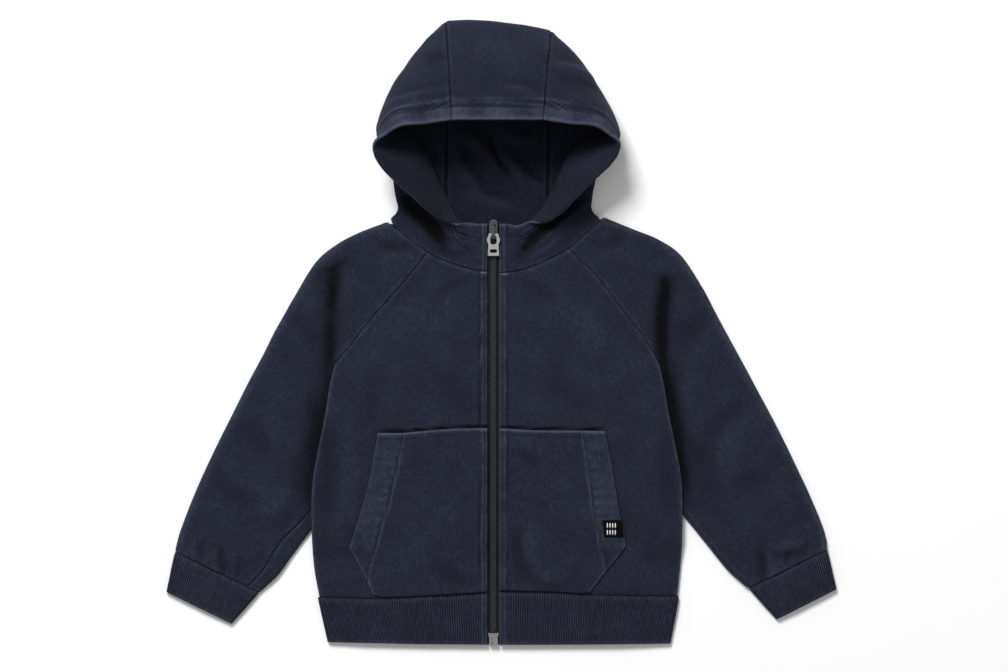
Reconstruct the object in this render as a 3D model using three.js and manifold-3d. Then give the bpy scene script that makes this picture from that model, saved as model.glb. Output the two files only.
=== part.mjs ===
import * as THREE from 'three';
import Module from 'manifold-3d';

// A toddler's zip hoodie laid flat on its back on a table, in millimetres.
// X runs to the picture's right, Y towards the hood and Z up from the table, which is Z = 0.
// Left and right are those of the picture, with the hood up.
// Side tables give "out", the distance from X = 0 towards their own side, so both read alike.

// Cloth
const FLEECE = 2.0;
const HOOD_CLOTH = 2.4;
const POCKET_CLOTH = 1.6;
const TAPE_CLOTH = 0.8;
const LABEL_CLOTH = 0.8;

// Gaps and layers
const SEAM = 0.25; // each piece stays this far inside its seam line
const LAYER_GAP = 0.5; // between a pocket and the front below it
const NECK_GAP = 0.75; // from the neck seam to the hood, along Y
const FOLD_RADIUS = 1.4; // of a folded edge, at the middle of the cloth
const TUCK_RADIUS = 1.15; // of the sleeve's fold that lies pressed under the body
const BACK_Z = FLEECE / 2;
const FRONT_RISE = BACK_Z + 2 * FOLD_RADIUS; // middle of the front layer over what the back lies on
const TUCK_LIFT = 4.8; // how far a tucked sleeve lifts the body's side
const LIFT_WIDTH = 28; // of the lifted strip
const LIFT_FADE = 24; // from the strip to the flat body
const LIFT_FROM = 26; // above the armpit
const LIFT_RISE = 34; // along the side to the full lift
const LIFT_END_Y = -218;
const LIFT_FALL = 28;
const LOFT_WIDTH = 60; // from the body's edge to the full loft
const FRONT_LOFT = 1.6; // extra rise of the fronts away from their edges
const SLEEVE_LOFT = 1.5;

// Zip
const ZIP_X = -7.6;
const ZIP_HALF_STRIP = 5.7; // from the zip's middle to each folded front edge
const NECK_ZIP_Y = 59.2;
const ZIP_TOP_Y = 104;
const HEM_Y = -295.4;
const STAND_SLOPE = 0.104; // rise of the neck's stand for each mm along the zip
const CHAIN_WIDTH = 5.4;
const CHAIN_HEIGHT = 1.5;

// Ribs of the cuffs and the hem
const RIB_PITCH = 2.3;
const RIB_HEIGHT = 0.45;
const CUFF_LOFT = 0.6;
const HEM_SEAM_Y = -249.6; // at the back
const HEM_FRONT_Y = -249; // where the front's height is taken
const HEM_OVERHANG = 0.6; // of the hem band past the side edge
const HEM_INWARD = { left: 9.6, right: 8 }; // how far each end comes in at the edge

const COLOURS = {
  fleece: 0x262a37,
  rib: 0x242834,
  tape: 0x1e2022,
  chain: 0x2d2f30,
  slider: 0x555858,
  silver: 0xe6e6e4,
  label: 0x0f0f0f,
};

// Body outline. Columns: out, y. The first row is the armpit and the last the hem seam.
const SIDE_EDGE = {
  left: [[158.5, -29.5], [163, -50], [167.2, -77], [174.3, -112], [179.3, -143], [180, -185],
    [178, -221], [173, -249.6]],
  right: [[149.5, -28], [154.3, -50], [159, -77], [166.2, -112], [171, -141], [171.6, -172],
    [171, -206], [167, -249]],
};

// Line along which the sleeve drops off the body's side, above the armpit. Columns: out, y.
const YOKE_FOLD = {
  left: [[146, 72], [158.5, 60], [160, 20], [160, -29.5]],
  right: [[150, 60], [152.5, 40], [151, 10], [151, -28]],
};

// Hem seam and hem edge. Columns: x, y.
const HEM_SEAM = [[-175, -250.2], [-123, -251.8], [-68, -249.4], [-22, -246.8], [0, -244.6],
  [51, -246.1], [85, -248.2], [170, -249.6]];
const HEM_EDGE = [[-164, -293], [-80, -294.8], [0, -295.4], [80, -295.2], [161, -294.4]];

// Front neck seam from the zip to the raglan seam. Columns: out, y.
const NECK_SEAM = {
  left: [[13.3, 59.2], [25, 60], [39.4, 64.1], [52.2, 68.4], [61.3, 72.4], [70.4, 77]],
  right: [[1.9, 58], [12, 58.8], [26.7, 62.8], [39, 67.6], [50.8, 73], [64.5, 80.5]],
};
const BACK_NECK_Y = 96.4;

// Yoke of the sleeve, a row for each section from the neck to the armpit.
// Columns: front seam out, y; outer fold out, y; back seam out, y.
const YOKE_ROWS = {
  left: [
    [70.4, 77, 107.8, 105, 66, 97.2],
    [82.4, 61.8, 134.4, 95, 80, 78],
    [94.3, 47.4, 156.7, 83.1, 93, 59],
    [107, 32.6, 176, 66.5, 106, 41],
    [128, 8.6, 196, 34, 127, 13],
    [143, -10.9, 206, 16.5, 142.4, -9],
    [158.5, -29.5, 215, 0.5, 158.5, -29.5],
  ],
  right: [
    [64.5, 80.5, 96.5, 109.5, 60, 98.4],
    [75.4, 69.6, 125, 98, 73, 83],
    [88, 57.6, 148, 88.6, 87, 66],
    [100.6, 41.6, 169.6, 73.6, 100, 48],
    [119.5, 16.6, 190, 43, 119, 20],
    [135.5, -4, 201, 22, 135, -2],
    [149.5, -28, 210, 5, 149.5, -28],
  ],
};

// Arm of the sleeve, a row for each section from the armpit to the cuff.
// Columns: outer fold out, y; inner fold out, y; wrap, how far the back turns onto the front.
const ARM_ROWS = {
  left: [
    [224, -18, 162.9, -48, 0],
    [232, -33, 147, -64, 0.5],
    [241, -50, 143, -87, 0.5],
    [255, -78, 147, -117, 1],
    [270, -108, 160.5, -151, 5],
    [284.5, -139, 180.6, -184, 11],
    [293.4, -160, 191, -199, 15],
    [300.4, -178, 201, -212.5, 15],
    [305.6, -193, 213, -229, 13],
    [308.8, -207.4, 230.6, -245.4, 10],
  ],
  right: [
    [222, -17, 154.2, -48, 0],
    [231.5, -34.4, 139, -64, 0.5],
    [243, -56, 136, -87, 0.5],
    [257.5, -83, 142, -115, 0.5],
    [273, -114, 157, -145, 0.5],
    [288, -146, 172.8, -171, 0.5],
    [297, -166, 185.5, -187, 0.5],
    [303.4, -182, 199.5, -204.5, 0.5],
    [306.8, -193.6, 216.5, -225, 0.5],
    [308.2, -205.6, 235.4, -241.4, 0.5],
  ],
};

// Cuff edge corners, below the sleeve's last section. Columns: out, y, first inner and then outer.
const CUFF_EDGE = {
  left: [[257, -275.3], [317.4, -245.8]],
  right: [[262, -271.2], [317.4, -243.2]],
};

// Hood side panel, a row for each section from the zip edge round to the middle panel's seam.
// Each section runs from the neck seam to the brim through six places. Columns: half, y, z of each,
// with half counted from the hood's own middle.
const HOOD_ROWS = [
  [[5.7, 59.9, 5.4], [5.7, 68.5, 6.4], [5.7, 77.5, 7.3],
    [5.7, 86.5, 8.2], [5.7, 95.5, 9.2], [5.7, 104, 10.1]],
  [[32, 64.9, 5.6], [30.5, 74, 6.9], [30, 83, 8.1],
    [29, 97, 9.6], [30.5, 101.5, 11.8], [33, 104.4, 14]],
  [[52.5, 72.4, 4.9], [49.5, 81, 6.6], [45, 96, 8.2],
    [41, 113, 10.5], [44.5, 110, 16], [48.5, 106, 21]],
  [[73.5, 83.4, 4.6], [67.5, 91, 6], [58, 110, 8],
    [52.5, 135, 11], [64, 130, 24], [76.5, 124, 35]],
  [[89, 95.6, 4.4], [82.5, 104, 5.4], [71, 126, 7.4],
    [61, 154, 12], [77, 148, 28], [96, 140.4, 42]],
  [[99.4, 108.4, 2.8], [94, 115.4, 4], [88, 131, 6],
    [70, 170, 12.5], [90, 165, 31], [112.5, 159.4, 47]],
  [[80, 102.4, 1.2], [91.5, 119.2, 1.2], [99, 137, 3],
    [92, 188, 12], [108, 183, 32], [118, 177, 50]],
  [[67, 99.4, 1.2], [80.5, 131.6, 1.2], [99, 166, 3],
    [115.6, 190, 20], [115.4, 188, 38], [108, 186, 54]],
  [[57, 98.2, 1.2], [68.5, 146, 1.2], [89, 205, 3],
    [106, 225, 20], [103, 212, 45], [93, 194, 58]],
  [[52.5, 97.8, 1.2], [58.5, 165, 1.2], [71, 246, 4],
    [84, 261, 21], [75, 235, 49], [70, 195.7, 61]],
  [[48, 97.5, 1.2], [48.5, 174, 1.2], [49, 272, 4],
    [49.5, 293.5, 20], [46.5, 256, 49], [42.5, 199.5, 61.5]],
];
// The hood leans to the right as it rises. Columns: y, lean.
const HOOD_LEAN = [[59, 0], [95, 1.5], [130, 3.4], [200, 4], [296, 4.7]];
const CORNER_ROW = 5;
const BACK_ROWS_FROM = 5.5; // sections from here on start at the back neck
const LEAN_WIDTH = 40; // from the zip's edge to the full lean
const HOOD_SAG = 9.5; // how far the crown's right side lies lower
const SAG_FROM_Y = 150;
const SAG_FADE = 60;
const SAG_SHARE = [0, 0, 0.6, 1, 0.45, 0];
// The hood's outline is drawn in at the neck and crown. Columns: y, how far.
const HOOD_TRIM = {
  left: [[59, 0], [105, 0], [130, 4], [150, 2], [165, 1], [190, 3.5], [250, 4], [275, 2], [296, 0]],
  right: [[59, 0], [105, 0], [120, 6], [137, 9], [150, 8], [165, 4], [190, 3], [250, 3], [275, 1], [296, 0]],
};
const TRIM_FROM = 60; // out from the zip
const TRIM_FADE = 20;
const CROWN_BULGE = [[0, 0], [0, 0], [2, 0], [4.8, 0], [2, 3], [0, 3]]; // y and z at the six places

// Pocket outlines. Columns: out, y.
const POCKET = {
  left: {
    top: [[117.3, -94.5], [94.5, -94.3], [70.2, -92.2], [46.1, -90.4], [13.5, -89.8]],
    opening: [[117.3, -94.5], [120.2, -111], [124.9, -137.3], [131.6, -162.9], [139.7, -188.1],
      [144.2, -202.8]],
    lower: [[144.2, -202.8], [136.3, -218], [126.8, -236.1], [121.4, -248]],
  },
  right: {
    top: [[98.1, -92.6], [75.1, -92.2], [51, -92], [26.7, -91.7], [1.7, -90]],
    opening: [[98.1, -92.6], [103.4, -117.9], [107.8, -143], [112, -169.6], [116, -186],
      [117.8, -201.9]],
    lower: [[117.8, -201.9], [108, -214.6], [97.4, -227.6], [84, -245.4]],
  },
};

const LABEL = { left: 95.8, right: 114.2, top: -177, bottom: -193, slant: 1.6 };

const MIRROR = { left: -1, right: 1 };

// Sums
const mix = (a, b, t) => a + (b - a) * t;
const clamp = (t) => Math.min(1, Math.max(0, t));
const smooth = (t) => clamp(t) ** 2 * (3 - 2 * clamp(t));
const blend = (p, q, t) => p.map((value, k) => mix(value, q[k], t));
const apart = (p, q) => Math.hypot(...p.map((value, k) => value - q[k]));

// A smooth curve through a table's rows; t runs from 0 to 1 along it.
function curveThrough(rows) {
  const at = [0];
  for (let i = 1; i < rows.length; i += 1) at.push(at[i - 1] + apart(rows[i - 1], rows[i]));
  const slopes = rows.map((row, i) => {
    const a = Math.max(0, i - 1);
    const b = Math.min(rows.length - 1, i + 1);
    return row.map((_, k) => (rows[b][k] - rows[a][k]) / (at[b] - at[a]));
  });
  return (t) => {
    const s = clamp(t) * at[at.length - 1];
    let i = 0;
    while (i < rows.length - 2 && s > at[i + 1]) i += 1;
    const step = at[i + 1] - at[i];
    const f = (s - at[i]) / step;
    return rows[i].map((value, k) => (
      (2 * f ** 3 - 3 * f ** 2 + 1) * value
      + (f ** 3 - 2 * f ** 2 + f) * step * slopes[i][k]
      + (3 * f ** 2 - 2 * f ** 3) * rows[i + 1][k]
      + (f ** 3 - f ** 2) * step * slopes[i + 1][k]));
  };
}

// One column of a table at a value of another, which rises or falls all along.
function lookUp(rows, value, from = 0, to = 1) {
  const falling = rows[0][from] > rows[rows.length - 1][from];
  const key = falling ? -value : value;
  const keys = rows.map((row) => (falling ? -row[from] : row[from]));
  let i = 0;
  while (i < rows.length - 2 && key > keys[i + 1]) i += 1;
  return mix(rows[i][to], rows[i + 1][to], clamp((key - keys[i]) / (keys[i + 1] - keys[i])));
}

// A row of a table of sections at a place between its rows.
function sectionAt(rows, place) {
  const i = Math.min(rows.length - 2, Math.floor(place));
  const f = place - i;
  const before = rows[Math.max(0, i - 1)];
  const after = rows[Math.min(rows.length - 1, i + 2)];
  return rows[i].map((value, k) => {
    const next = rows[i + 1][k];
    return value + 0.5 * f * (next - before[k] + f * (2 * before[k] - 5 * value + 4 * next - after[k]
      + f * (3 * (value - next) + after[k] - before[k])));
  });
}

// Heights
const edgeOut = (side, y) => (y > SIDE_EDGE[side][0][1]
  ? lookUp(YOKE_FOLD[side], y, 1, 0) : lookUp(SIDE_EDGE[side], y, 1, 0));

function liftOnSide(side, x, y) {
  const inside = edgeOut(side, y) - MIRROR[side] * x;
  const below = smooth((SIDE_EDGE[side][0][1] + LIFT_FROM - y) / LIFT_RISE);
  const along = below * smooth((y - LIFT_END_Y) / LIFT_FALL);
  return TUCK_LIFT * along * (1 - smooth((inside - LIFT_WIDTH) / LIFT_FADE));
}

const lift = (x, y) => liftOnSide(x < ZIP_X ? 'left' : 'right', x, y);

function frontZ(x, y) {
  const side = x < ZIP_X ? 'left' : 'right';
  const inside = edgeOut(side, y) - MIRROR[side] * x;
  return lift(x, y) + FRONT_RISE + FRONT_LOFT * smooth((inside - 4) / LOFT_WIDTH);
}

const zipZ = (y) => FRONT_RISE + FRONT_LOFT + STAND_SLOPE * Math.max(0, y - NECK_ZIP_Y);

// Solids from grids
function normalsOf(grid, closed) {
  const rows = grid.length;
  const cols = grid[0].length;
  return grid.map((row, j) => row.map((_, i) => {
    const west = closed ? row[(i - 1 + cols) % cols] : row[Math.max(0, i - 1)];
    const east = closed ? row[(i + 1) % cols] : row[Math.min(cols - 1, i + 1)];
    const north = grid[Math.max(0, j - 1)][i];
    const south = grid[Math.min(rows - 1, j + 1)][i];
    const across = new THREE.Vector3(...east).sub(new THREE.Vector3(...west));
    const down = new THREE.Vector3(...south).sub(new THREE.Vector3(...north));
    return across.cross(down).normalize();
  }));
}

// A closed solid between two grids of points. A closed grid joins its last column to its first.
function solidBetween(outer, inner, closed) {
  const rows = outer.length;
  const cols = outer[0].length;
  const positions = [...outer.flat(), ...inner.flat()].flat();
  const top = (j, i) => j * cols + (i % cols);
  const under = (j, i) => rows * cols + top(j, i);
  const indices = [];
  const quad = (a, b, c, d) => indices.push(a, b, c, a, c, d);
  const spans = closed ? cols : cols - 1;
  for (let j = 0; j < rows - 1; j += 1) {
    for (let i = 0; i < spans; i += 1) {
      quad(top(j, i), top(j, i + 1), top(j + 1, i + 1), top(j + 1, i));
      quad(under(j, i), under(j + 1, i), under(j + 1, i + 1), under(j, i + 1));
    }
    if (!closed) {
      quad(top(j, 0), top(j + 1, 0), under(j + 1, 0), under(j, 0));
      quad(top(j + 1, cols - 1), top(j, cols - 1), under(j, cols - 1), under(j + 1, cols - 1));
    }
  }
  for (let i = 0; i < spans; i += 1) {
    quad(top(0, i + 1), top(0, i), under(0, i), under(0, i + 1));
    quad(top(rows - 1, i), top(rows - 1, i + 1), under(rows - 1, i + 1), under(rows - 1, i));
  }
  return facingOut(positions, indices);
}

function facingOut(positions, indices) {
  const point = (n) => new THREE.Vector3(...positions.slice(3 * n, 3 * n + 3));
  let volume = 0;
  for (let k = 0; k < indices.length; k += 3) {
    volume += point(indices[k]).dot(point(indices[k + 1]).cross(point(indices[k + 2])));
  }
  if (volume < 0) {
    for (let k = 0; k < indices.length; k += 3) {
      [indices[k + 1], indices[k + 2]] = [indices[k + 2], indices[k + 1]];
    }
  }
  const geometry = new THREE.BufferGeometry();
  geometry.setAttribute('position', new THREE.Float32BufferAttribute(positions, 3));
  geometry.setIndex(indices);
  geometry.computeVertexNormals();
  return geometry;
}

// A cloth wall on both sides of a grid through its middle, never below the table.
function wall(grid, thickness, { closed = false, relief = () => 0 } = {}) {
  const normals = normalsOf(grid, closed);
  const upward = normals[0][0].z < 0 ? -1 : 1;
  const moved = (distance) => grid.map((row, j) => row.map((p, i) => {
    const step = distance(j, i) * upward;
    const n = normals[j][i];
    return [p[0] + n.x * step, p[1] + n.y * step, Math.max(0, p[2] + n.z * step)];
  }));
  return solidBetween(
    moved((j, i) => thickness / 2 + relief(j, i)),
    moved(() => -thickness / 2),
    closed,
  );
}

function gridOf(cols, rows, pointAt) {
  return Array.from({ length: rows + 1 }, (_, j) => (
    Array.from({ length: cols + 1 }, (__, i) => pointAt(i / cols, j / rows))));
}

// The plan inside four border curves: u runs along top and bottom, v along left and right.
function patch(top, bottom, left, right) {
  return (u, v) => [0, 1].map((k) => (
    mix(top(u)[k], bottom(u)[k], v) + mix(left(v)[k], right(v)[k], u)
    - mix(mix(top(0)[k], top(1)[k], u), mix(bottom(0)[k], bottom(1)[k], u), v)));
}

const COLS = { front: 12, back: 16, yoke: 6, side: 9 };
const material = (name, roughness = 0.95, metalness = 0) => (
  new THREE.MeshStandardMaterial({ color: COLOURS[name], roughness, metalness }));

function meshOf(name, geometry, look) {
  const mesh = new THREE.Mesh(geometry, look);
  mesh.name = name;
  return mesh;
}

// The height of a grid of points over a place in the plan.
function heightOn(grid) {
  const across = (a, b, p) => (b[0] - a[0]) * (p[1] - a[1]) - (b[1] - a[1]) * (p[0] - a[0]);
  return (x, y) => {
    let best = null;
    let least = -Infinity;
    for (let j = 0; j < grid.length - 1; j += 1) {
      for (let i = 0; i < grid[0].length - 1; i += 1) {
        const [a, b, c, d] = [grid[j][i], grid[j][i + 1], grid[j + 1][i + 1], grid[j + 1][i]];
        for (const [p, q, r] of [[a, b, c], [a, c, d]]) {
          const whole = across(p, q, r);
          const shares = [across(q, r, [x, y]) / whole, across(r, p, [x, y]) / whole,
            across(p, q, [x, y]) / whole];
          const depth = Math.min(...shares);
          if (depth > least) {
            least = depth;
            best = shares[0] * p[2] + shares[1] * q[2] + shares[2] * r[2];
          }
        }
      }
    }
    return best;
  };
}

// Fronts and back share the raglan seam's and the side edge's rows with the sleeves.
function outerBorder(side, seamColumn) {
  const sideEdge = curveThrough(SIDE_EDGE[side]);
  const last = YOKE_ROWS[side].length - 1;
  const split = COLS.yoke / (COLS.yoke + COLS.side);
  return (v) => {
    const point = v < split
      ? sectionAt(YOKE_ROWS[side], (last * v) / split).slice(seamColumn, seamColumn + 2)
      : sideEdge((v - split) / (1 - split));
    return [MIRROR[side] * (point[0] - SEAM * 2), point[1] - SEAM];
  };
}

function frontGrid(side) {
  const m = MIRROR[side];
  const zipEdge = ZIP_X + m * ZIP_HALF_STRIP;
  const neck = curveThrough(NECK_SEAM[side]);
  const outer = outerBorder(side, 0);
  const split = COLS.yoke / (COLS.yoke + COLS.side);
  const armpitY = SIDE_EDGE[side][0][1];
  const neckY = NECK_SEAM[side][0][1] - SEAM;
  const hemY = lookUp(HEM_SEAM, zipEdge) + SEAM;
  const zipLine = (v) => [zipEdge, v < split
    ? mix(neckY, armpitY - 15, v / split)
    : mix(armpitY - 15, hemY, (v - split) / (1 - split))];
  const top = (u) => (u === 0 ? zipLine(0) : blend(
    [m * neck(u)[0], neck(u)[1] - SEAM], outer(0), smooth((u - 0.9) / 0.1)));
  const bottom = (u) => {
    const x = mix(zipEdge, outer(1)[0], u);
    return [x, lookUp(HEM_SEAM, x) + SEAM];
  };
  const plan = patch(top, bottom, zipLine, (v) => (v === 1 ? bottom(1) : outer(v)));
  return gridOf(COLS.front, COLS.yoke + COLS.side, (u, v) => {
    const [x, y] = plan(u, v);
    return [x, y, frontZ(x, y)];
  });
}

function frontPanel(side) {
  return meshOf(`front_${side}`, wall(frontGrid(side), FLEECE), material('fleece'));
}

function backPanel() {
  const seamColumn = 4;
  const left = outerBorder('left', seamColumn);
  const right = outerBorder('right', seamColumn);
  const top = (u) => [mix(left(0)[0], right(0)[0], u),
    mix(left(0)[1], right(0)[1], u) - (left(0)[1] - BACK_NECK_Y) * Math.sin(Math.PI * u)];
  const bottom = (u) => {
    const x = mix(left(1)[0], right(1)[0], u);
    return [x, mix(left(1)[1], right(1)[1], u)];
  };
  const plan = patch(top, bottom, left, right);
  const grid = gridOf(COLS.back, COLS.yoke + COLS.side, (t, v) => {
    const u = (1 - Math.cos(Math.PI * t)) / 2; // closer columns near the sides, which lie on the sleeves
    const [x, y] = plan(u, v);
    return [x, y, lift(x, y) + BACK_Z];
  });
  return meshOf('back_panel', wall(grid, FLEECE), material('fleece'));
}

// One section of a sleeve: along the front from its seam, round the outer fold, back along the
// underside, and round the inner fold by the given turn.
const SLEEVE_COLS = { front: 10, fold: 4, under: 6, turn: 4, wrap: 2 };

function sleeveSection(side, s) {
  const m = MIRROR[side];
  const { front, outer, inner, frontHeight, underHeight, turn, wrap, radius } = s;
  const points = [];
  const outward = (p, q) => {
    const d = apart(p, q);
    return [(q[0] - p[0]) / d, (q[1] - p[1]) / d];
  };
  const along = outward(blend(front, inner, 0.5), outer);
  const centre = [outer[0] - along[0] * FOLD_RADIUS, outer[1] - along[1] * FOLD_RADIUS];
  const add = (p, z) => points.push([m * p[0], p[1], z]);
  for (let i = 0; i < SLEEVE_COLS.front; i += 1) {
    const t = i / SLEEVE_COLS.front;
    const p = blend(front, centre, t);
    add(p, frontHeight(p, t));
  }
  for (let i = 0; i <= SLEEVE_COLS.fold; i += 1) {
    const angle = Math.PI * (0.5 - i / SLEEVE_COLS.fold);
    const reach = FOLD_RADIUS * Math.cos(angle);
    add([centre[0] + along[0] * reach, centre[1] + along[1] * reach],
      BACK_Z + FOLD_RADIUS * (1 + Math.sin(angle)));
  }
  const inward = outward(centre, inner);
  const turnLength = Math.PI * radius;
  const before = turn > 0 ? radius : turnLength + wrap;
  const turnStart = [inner[0] - inward[0] * before, inner[1] - inward[1] * before];
  for (let i = 1; i <= SLEEVE_COLS.under; i += 1) {
    const t = i / SLEEVE_COLS.under;
    const p = blend(centre, turnStart, t);
    add(p, underHeight(p, t));
  }
  for (let i = 1; i <= SLEEVE_COLS.turn; i += 1) {
    const t = i / SLEEVE_COLS.turn;
    const angle = Math.PI * t;
    const reach = turn > 0 ? radius * Math.sin(angle) : turnLength * t;
    const rise = turn > 0 ? radius * (1 - Math.cos(angle)) : 0;
    const p = [turnStart[0] + inward[0] * reach, turnStart[1] + inward[1] * reach];
    add(p, underHeight(p, 1) + rise);
  }
  const [lastX, lastY, lastZ] = points[points.length - 1];
  const back = turn > 0 ? -1 : 1;
  for (let i = 1; i <= SLEEVE_COLS.wrap; i += 1) {
    const reach = (back * Math.max(0.5, wrap) * i) / SLEEVE_COLS.wrap;
    points.push([lastX + m * inward[0] * reach, lastY + inward[1] * reach, lastZ]);
  }
  return points;
}

function sleeve(side) {
  const lastYoke = YOKE_ROWS[side].length - 1;
  const loft = (t) => SLEEVE_LOFT * Math.sin(Math.PI * clamp(t));
  const yokeRow = (place) => {
    const r = sectionAt(YOKE_ROWS[side], place);
    const m = MIRROR[side];
    return sleeveSection(side, {
      front: [r[0] + SEAM * 2, r[1] + SEAM],
      outer: [r[2], r[3] - SEAM],
      inner: [r[4] + SEAM * 2, r[5] + SEAM],
      turn: 0,
      wrap: 0.5,
      radius: FOLD_RADIUS,
      frontHeight: (p, t) => {
        const inside = edgeOut(side, p[1]) - p[0];
        const onBody = frontZ(m * p[0], p[1]);
        return mix(FRONT_RISE + loft(t), onBody, smooth((inside + 5) / 6));
      },
      underHeight: (p) => {
        const inside = edgeOut(side, p[1]) - p[0];
        return BACK_Z + lift(m * p[0], p[1]) * smooth((inside + 5) / 6);
      },
    });
  };
  const armRow = (place) => {
    const r = sectionAt(ARM_ROWS[side], place);
    const wrap = Math.max(0, r[4]);
    const hidden = 1 - smooth((place - 4) / 2);
    const radius = mix(FOLD_RADIUS, TUCK_RADIUS, hidden);
    const inner = [r[2], r[3]];
    const width = apart(inner, [r[0], r[1]]);
    const away = [(r[0] - inner[0]) / width, (r[1] - inner[1]) / width];
    const seamAt = place === 0 ? SEAM * 2 : radius + Math.max(0.5, wrap) + SEAM * 2;
    return sleeveSection(side, {
      front: [inner[0] + away[0] * seamAt, inner[1] + away[1] * seamAt],
      outer: [r[0], r[1]],
      inner,
      turn: place === 0 ? 0 : 1,
      wrap,
      radius,
      frontHeight: (p, t) => {
        const outside = p[0] - edgeOut(side, p[1]);
        const pressed = BACK_Z + 2 * TUCK_RADIUS;
        const free = BACK_Z + 2 * FOLD_RADIUS + loft(t);
        return mix(pressed, free, Math.max(smooth((outside - 2) / 14), smooth((place - 4) / 2)
          * smooth((outside + 1) / 3)));
      },
      underHeight: () => BACK_Z,
    });
  };
  const grid = [];
  for (let j = 0; j <= COLS.yoke; j += 1) grid.push(yokeRow((lastYoke * j) / COLS.yoke));
  for (let j = 0; j < ARM_ROWS[side].length; j += 1) grid.push(armRow(j));
  return meshOf(`sleeve_${side}`, wall(grid, FLEECE), material('fleece'));
}

// A zigzag of ribs over a stretch of columns, two columns a rib.
const ribRelief = (i, from, to) => (i > from && i < to && (i - from) % 2 === 1 ? RIB_HEIGHT : 0);

function cuff(side) {
  const m = MIRROR[side];
  const sleeveEnd = ARM_ROWS[side][ARM_ROWS[side].length - 1];
  const [outerTop, innerTop] = [sleeveEnd.slice(0, 2), sleeveEnd.slice(2, 4)];
  const [innerEdge, outerEdge] = CUFF_EDGE[side];
  const width = apart(outerTop, innerTop);
  const ribs = Math.round(width / RIB_PITCH);
  const frontCols = 2 * ribs;
  const foldCols = 4;
  const underCols = 6;
  const ring = (v) => {
    const a = blend(outerTop, outerEdge, v);
    const b = blend(innerTop, innerEdge, v);
    const w = apart(a, b);
    const d = [(b[0] - a[0]) / w, (b[1] - a[1]) / w];
    const at = (s, z) => [m * (a[0] + d[0] * s), a[1] + d[1] * s, z];
    const points = [];
    const topZ = BACK_Z + 2 * FOLD_RADIUS;
    for (let i = 0; i <= frontCols; i += 1) {
      const t = i / frontCols;
      points.push(at(mix(FOLD_RADIUS, w - FOLD_RADIUS, t), topZ + CUFF_LOFT * Math.sin(Math.PI * t)));
    }
    for (let i = 1; i < foldCols; i += 1) {
      const angle = (Math.PI * i) / foldCols;
      const reach = FOLD_RADIUS * Math.sin(angle);
      points.push(at(w - FOLD_RADIUS + reach, BACK_Z + FOLD_RADIUS * (1 + Math.cos(angle))));
    }
    for (let i = 0; i <= underCols; i += 1) {
      points.push(at(mix(w - FOLD_RADIUS, FOLD_RADIUS, i / underCols), BACK_Z));
    }
    for (let i = 1; i < foldCols; i += 1) {
      const angle = (Math.PI * i) / foldCols;
      const reach = FOLD_RADIUS * (1 - Math.sin(angle));
      points.push(at(reach, BACK_Z + FOLD_RADIUS * (1 - Math.cos(angle))));
    }
    return points;
  };
  const seamShare = (SEAM * 2) / apart(outerTop, outerEdge);
  const grid = [ring(seamShare), ring(1)];
  const relief = (j, i) => ribRelief(i, 0, frontCols);
  return meshOf(`cuff_${side}`, wall(grid, FLEECE, { closed: true, relief }), material('rib'));
}

function hemBand() {
  const foldCols = 4;
  const underCols = 14;
  const lastRow = (side) => SIDE_EDGE[side][SIDE_EDGE[side].length - 1];
  const ends = {
    left: lastRow('left')[0] + HEM_OVERHANG,
    right: lastRow('right')[0] + HEM_OVERHANG,
  };
  const ribs = {};
  for (const side of ['left', 'right']) {
    const zipEdge = MIRROR[side] * ZIP_X + ZIP_HALF_STRIP;
    ribs[side] = Math.round((ends[side] - zipEdge) / RIB_PITCH);
  }
  const section = (v) => {
    const points = [];
    const yAt = (x) => mix(lookUp(HEM_SEAM, x) - SEAM, lookUp(HEM_EDGE, x), v);
    const reach = (side) => ends[side] - HEM_INWARD[side] * v;
    const front = (side, backwards) => {
      const m = MIRROR[side];
      const from = ZIP_X + m * ZIP_HALF_STRIP;
      const to = m * (reach(side) - FOLD_RADIUS);
      const cols = 2 * ribs[side];
      const row = Array.from({ length: cols + 1 }, (_, i) => {
        const x = mix(from, to, i / cols);
        return [x, yAt(x), frontZ(x, HEM_FRONT_Y)];
      });
      points.push(...(backwards ? row.reverse() : row));
    };
    const fold = (side, down) => {
      const m = MIRROR[side];
      for (let i = 1; i < foldCols; i += 1) {
        const angle = (Math.PI * i) / foldCols;
        const turn = (down ? 1 : -1) * Math.cos(angle);
        const x = m * (reach(side) - FOLD_RADIUS + FOLD_RADIUS * Math.sin(angle));
        points.push([x, yAt(x), BACK_Z + FOLD_RADIUS * (1 + turn)]);
      }
    };
    front('left', false);
    fold('left', true);
    for (let i = 0; i <= underCols; i += 1) {
      const x = mix(-reach('left') + FOLD_RADIUS, reach('right') - FOLD_RADIUS, i / underCols);
      points.push([x, mix(HEM_SEAM_Y, lookUp(HEM_EDGE, x), v) - SEAM * (1 - v), BACK_Z]);
    }
    fold('right', false);
    front('right', true);
    return points;
  };
  const grid = [section(0), section(1)];
  const cols = grid[0].length;
  const leftEnd = 2 * ribs.left;
  const rightStart = cols - 1 - 2 * ribs.right;
  const relief = (j, i) => ribRelief(i, 0, leftEnd) + ribRelief(i, rightStart, cols - 1);
  return meshOf('hem_band', wall(grid, FLEECE, { relief }), material('rib'));
}

// Hood
function hoodPoint(side, [half, y, z], place) {
  const m = MIRROR[side];
  const lean = lookUp(HOOD_LEAN, y) * smooth((half - ZIP_HALF_STRIP) / LEAN_WIDTH);
  const sag = side === 'right' ? HOOD_SAG * SAG_SHARE[place] * smooth((y - SAG_FROM_Y) / SAG_FADE) : 0;
  const trim = lookUp(HOOD_TRIM[side], y) * smooth((half - TRIM_FROM) / TRIM_FADE);
  return [ZIP_X + m * (half - trim) + lean, y - sag, z];
}

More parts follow.
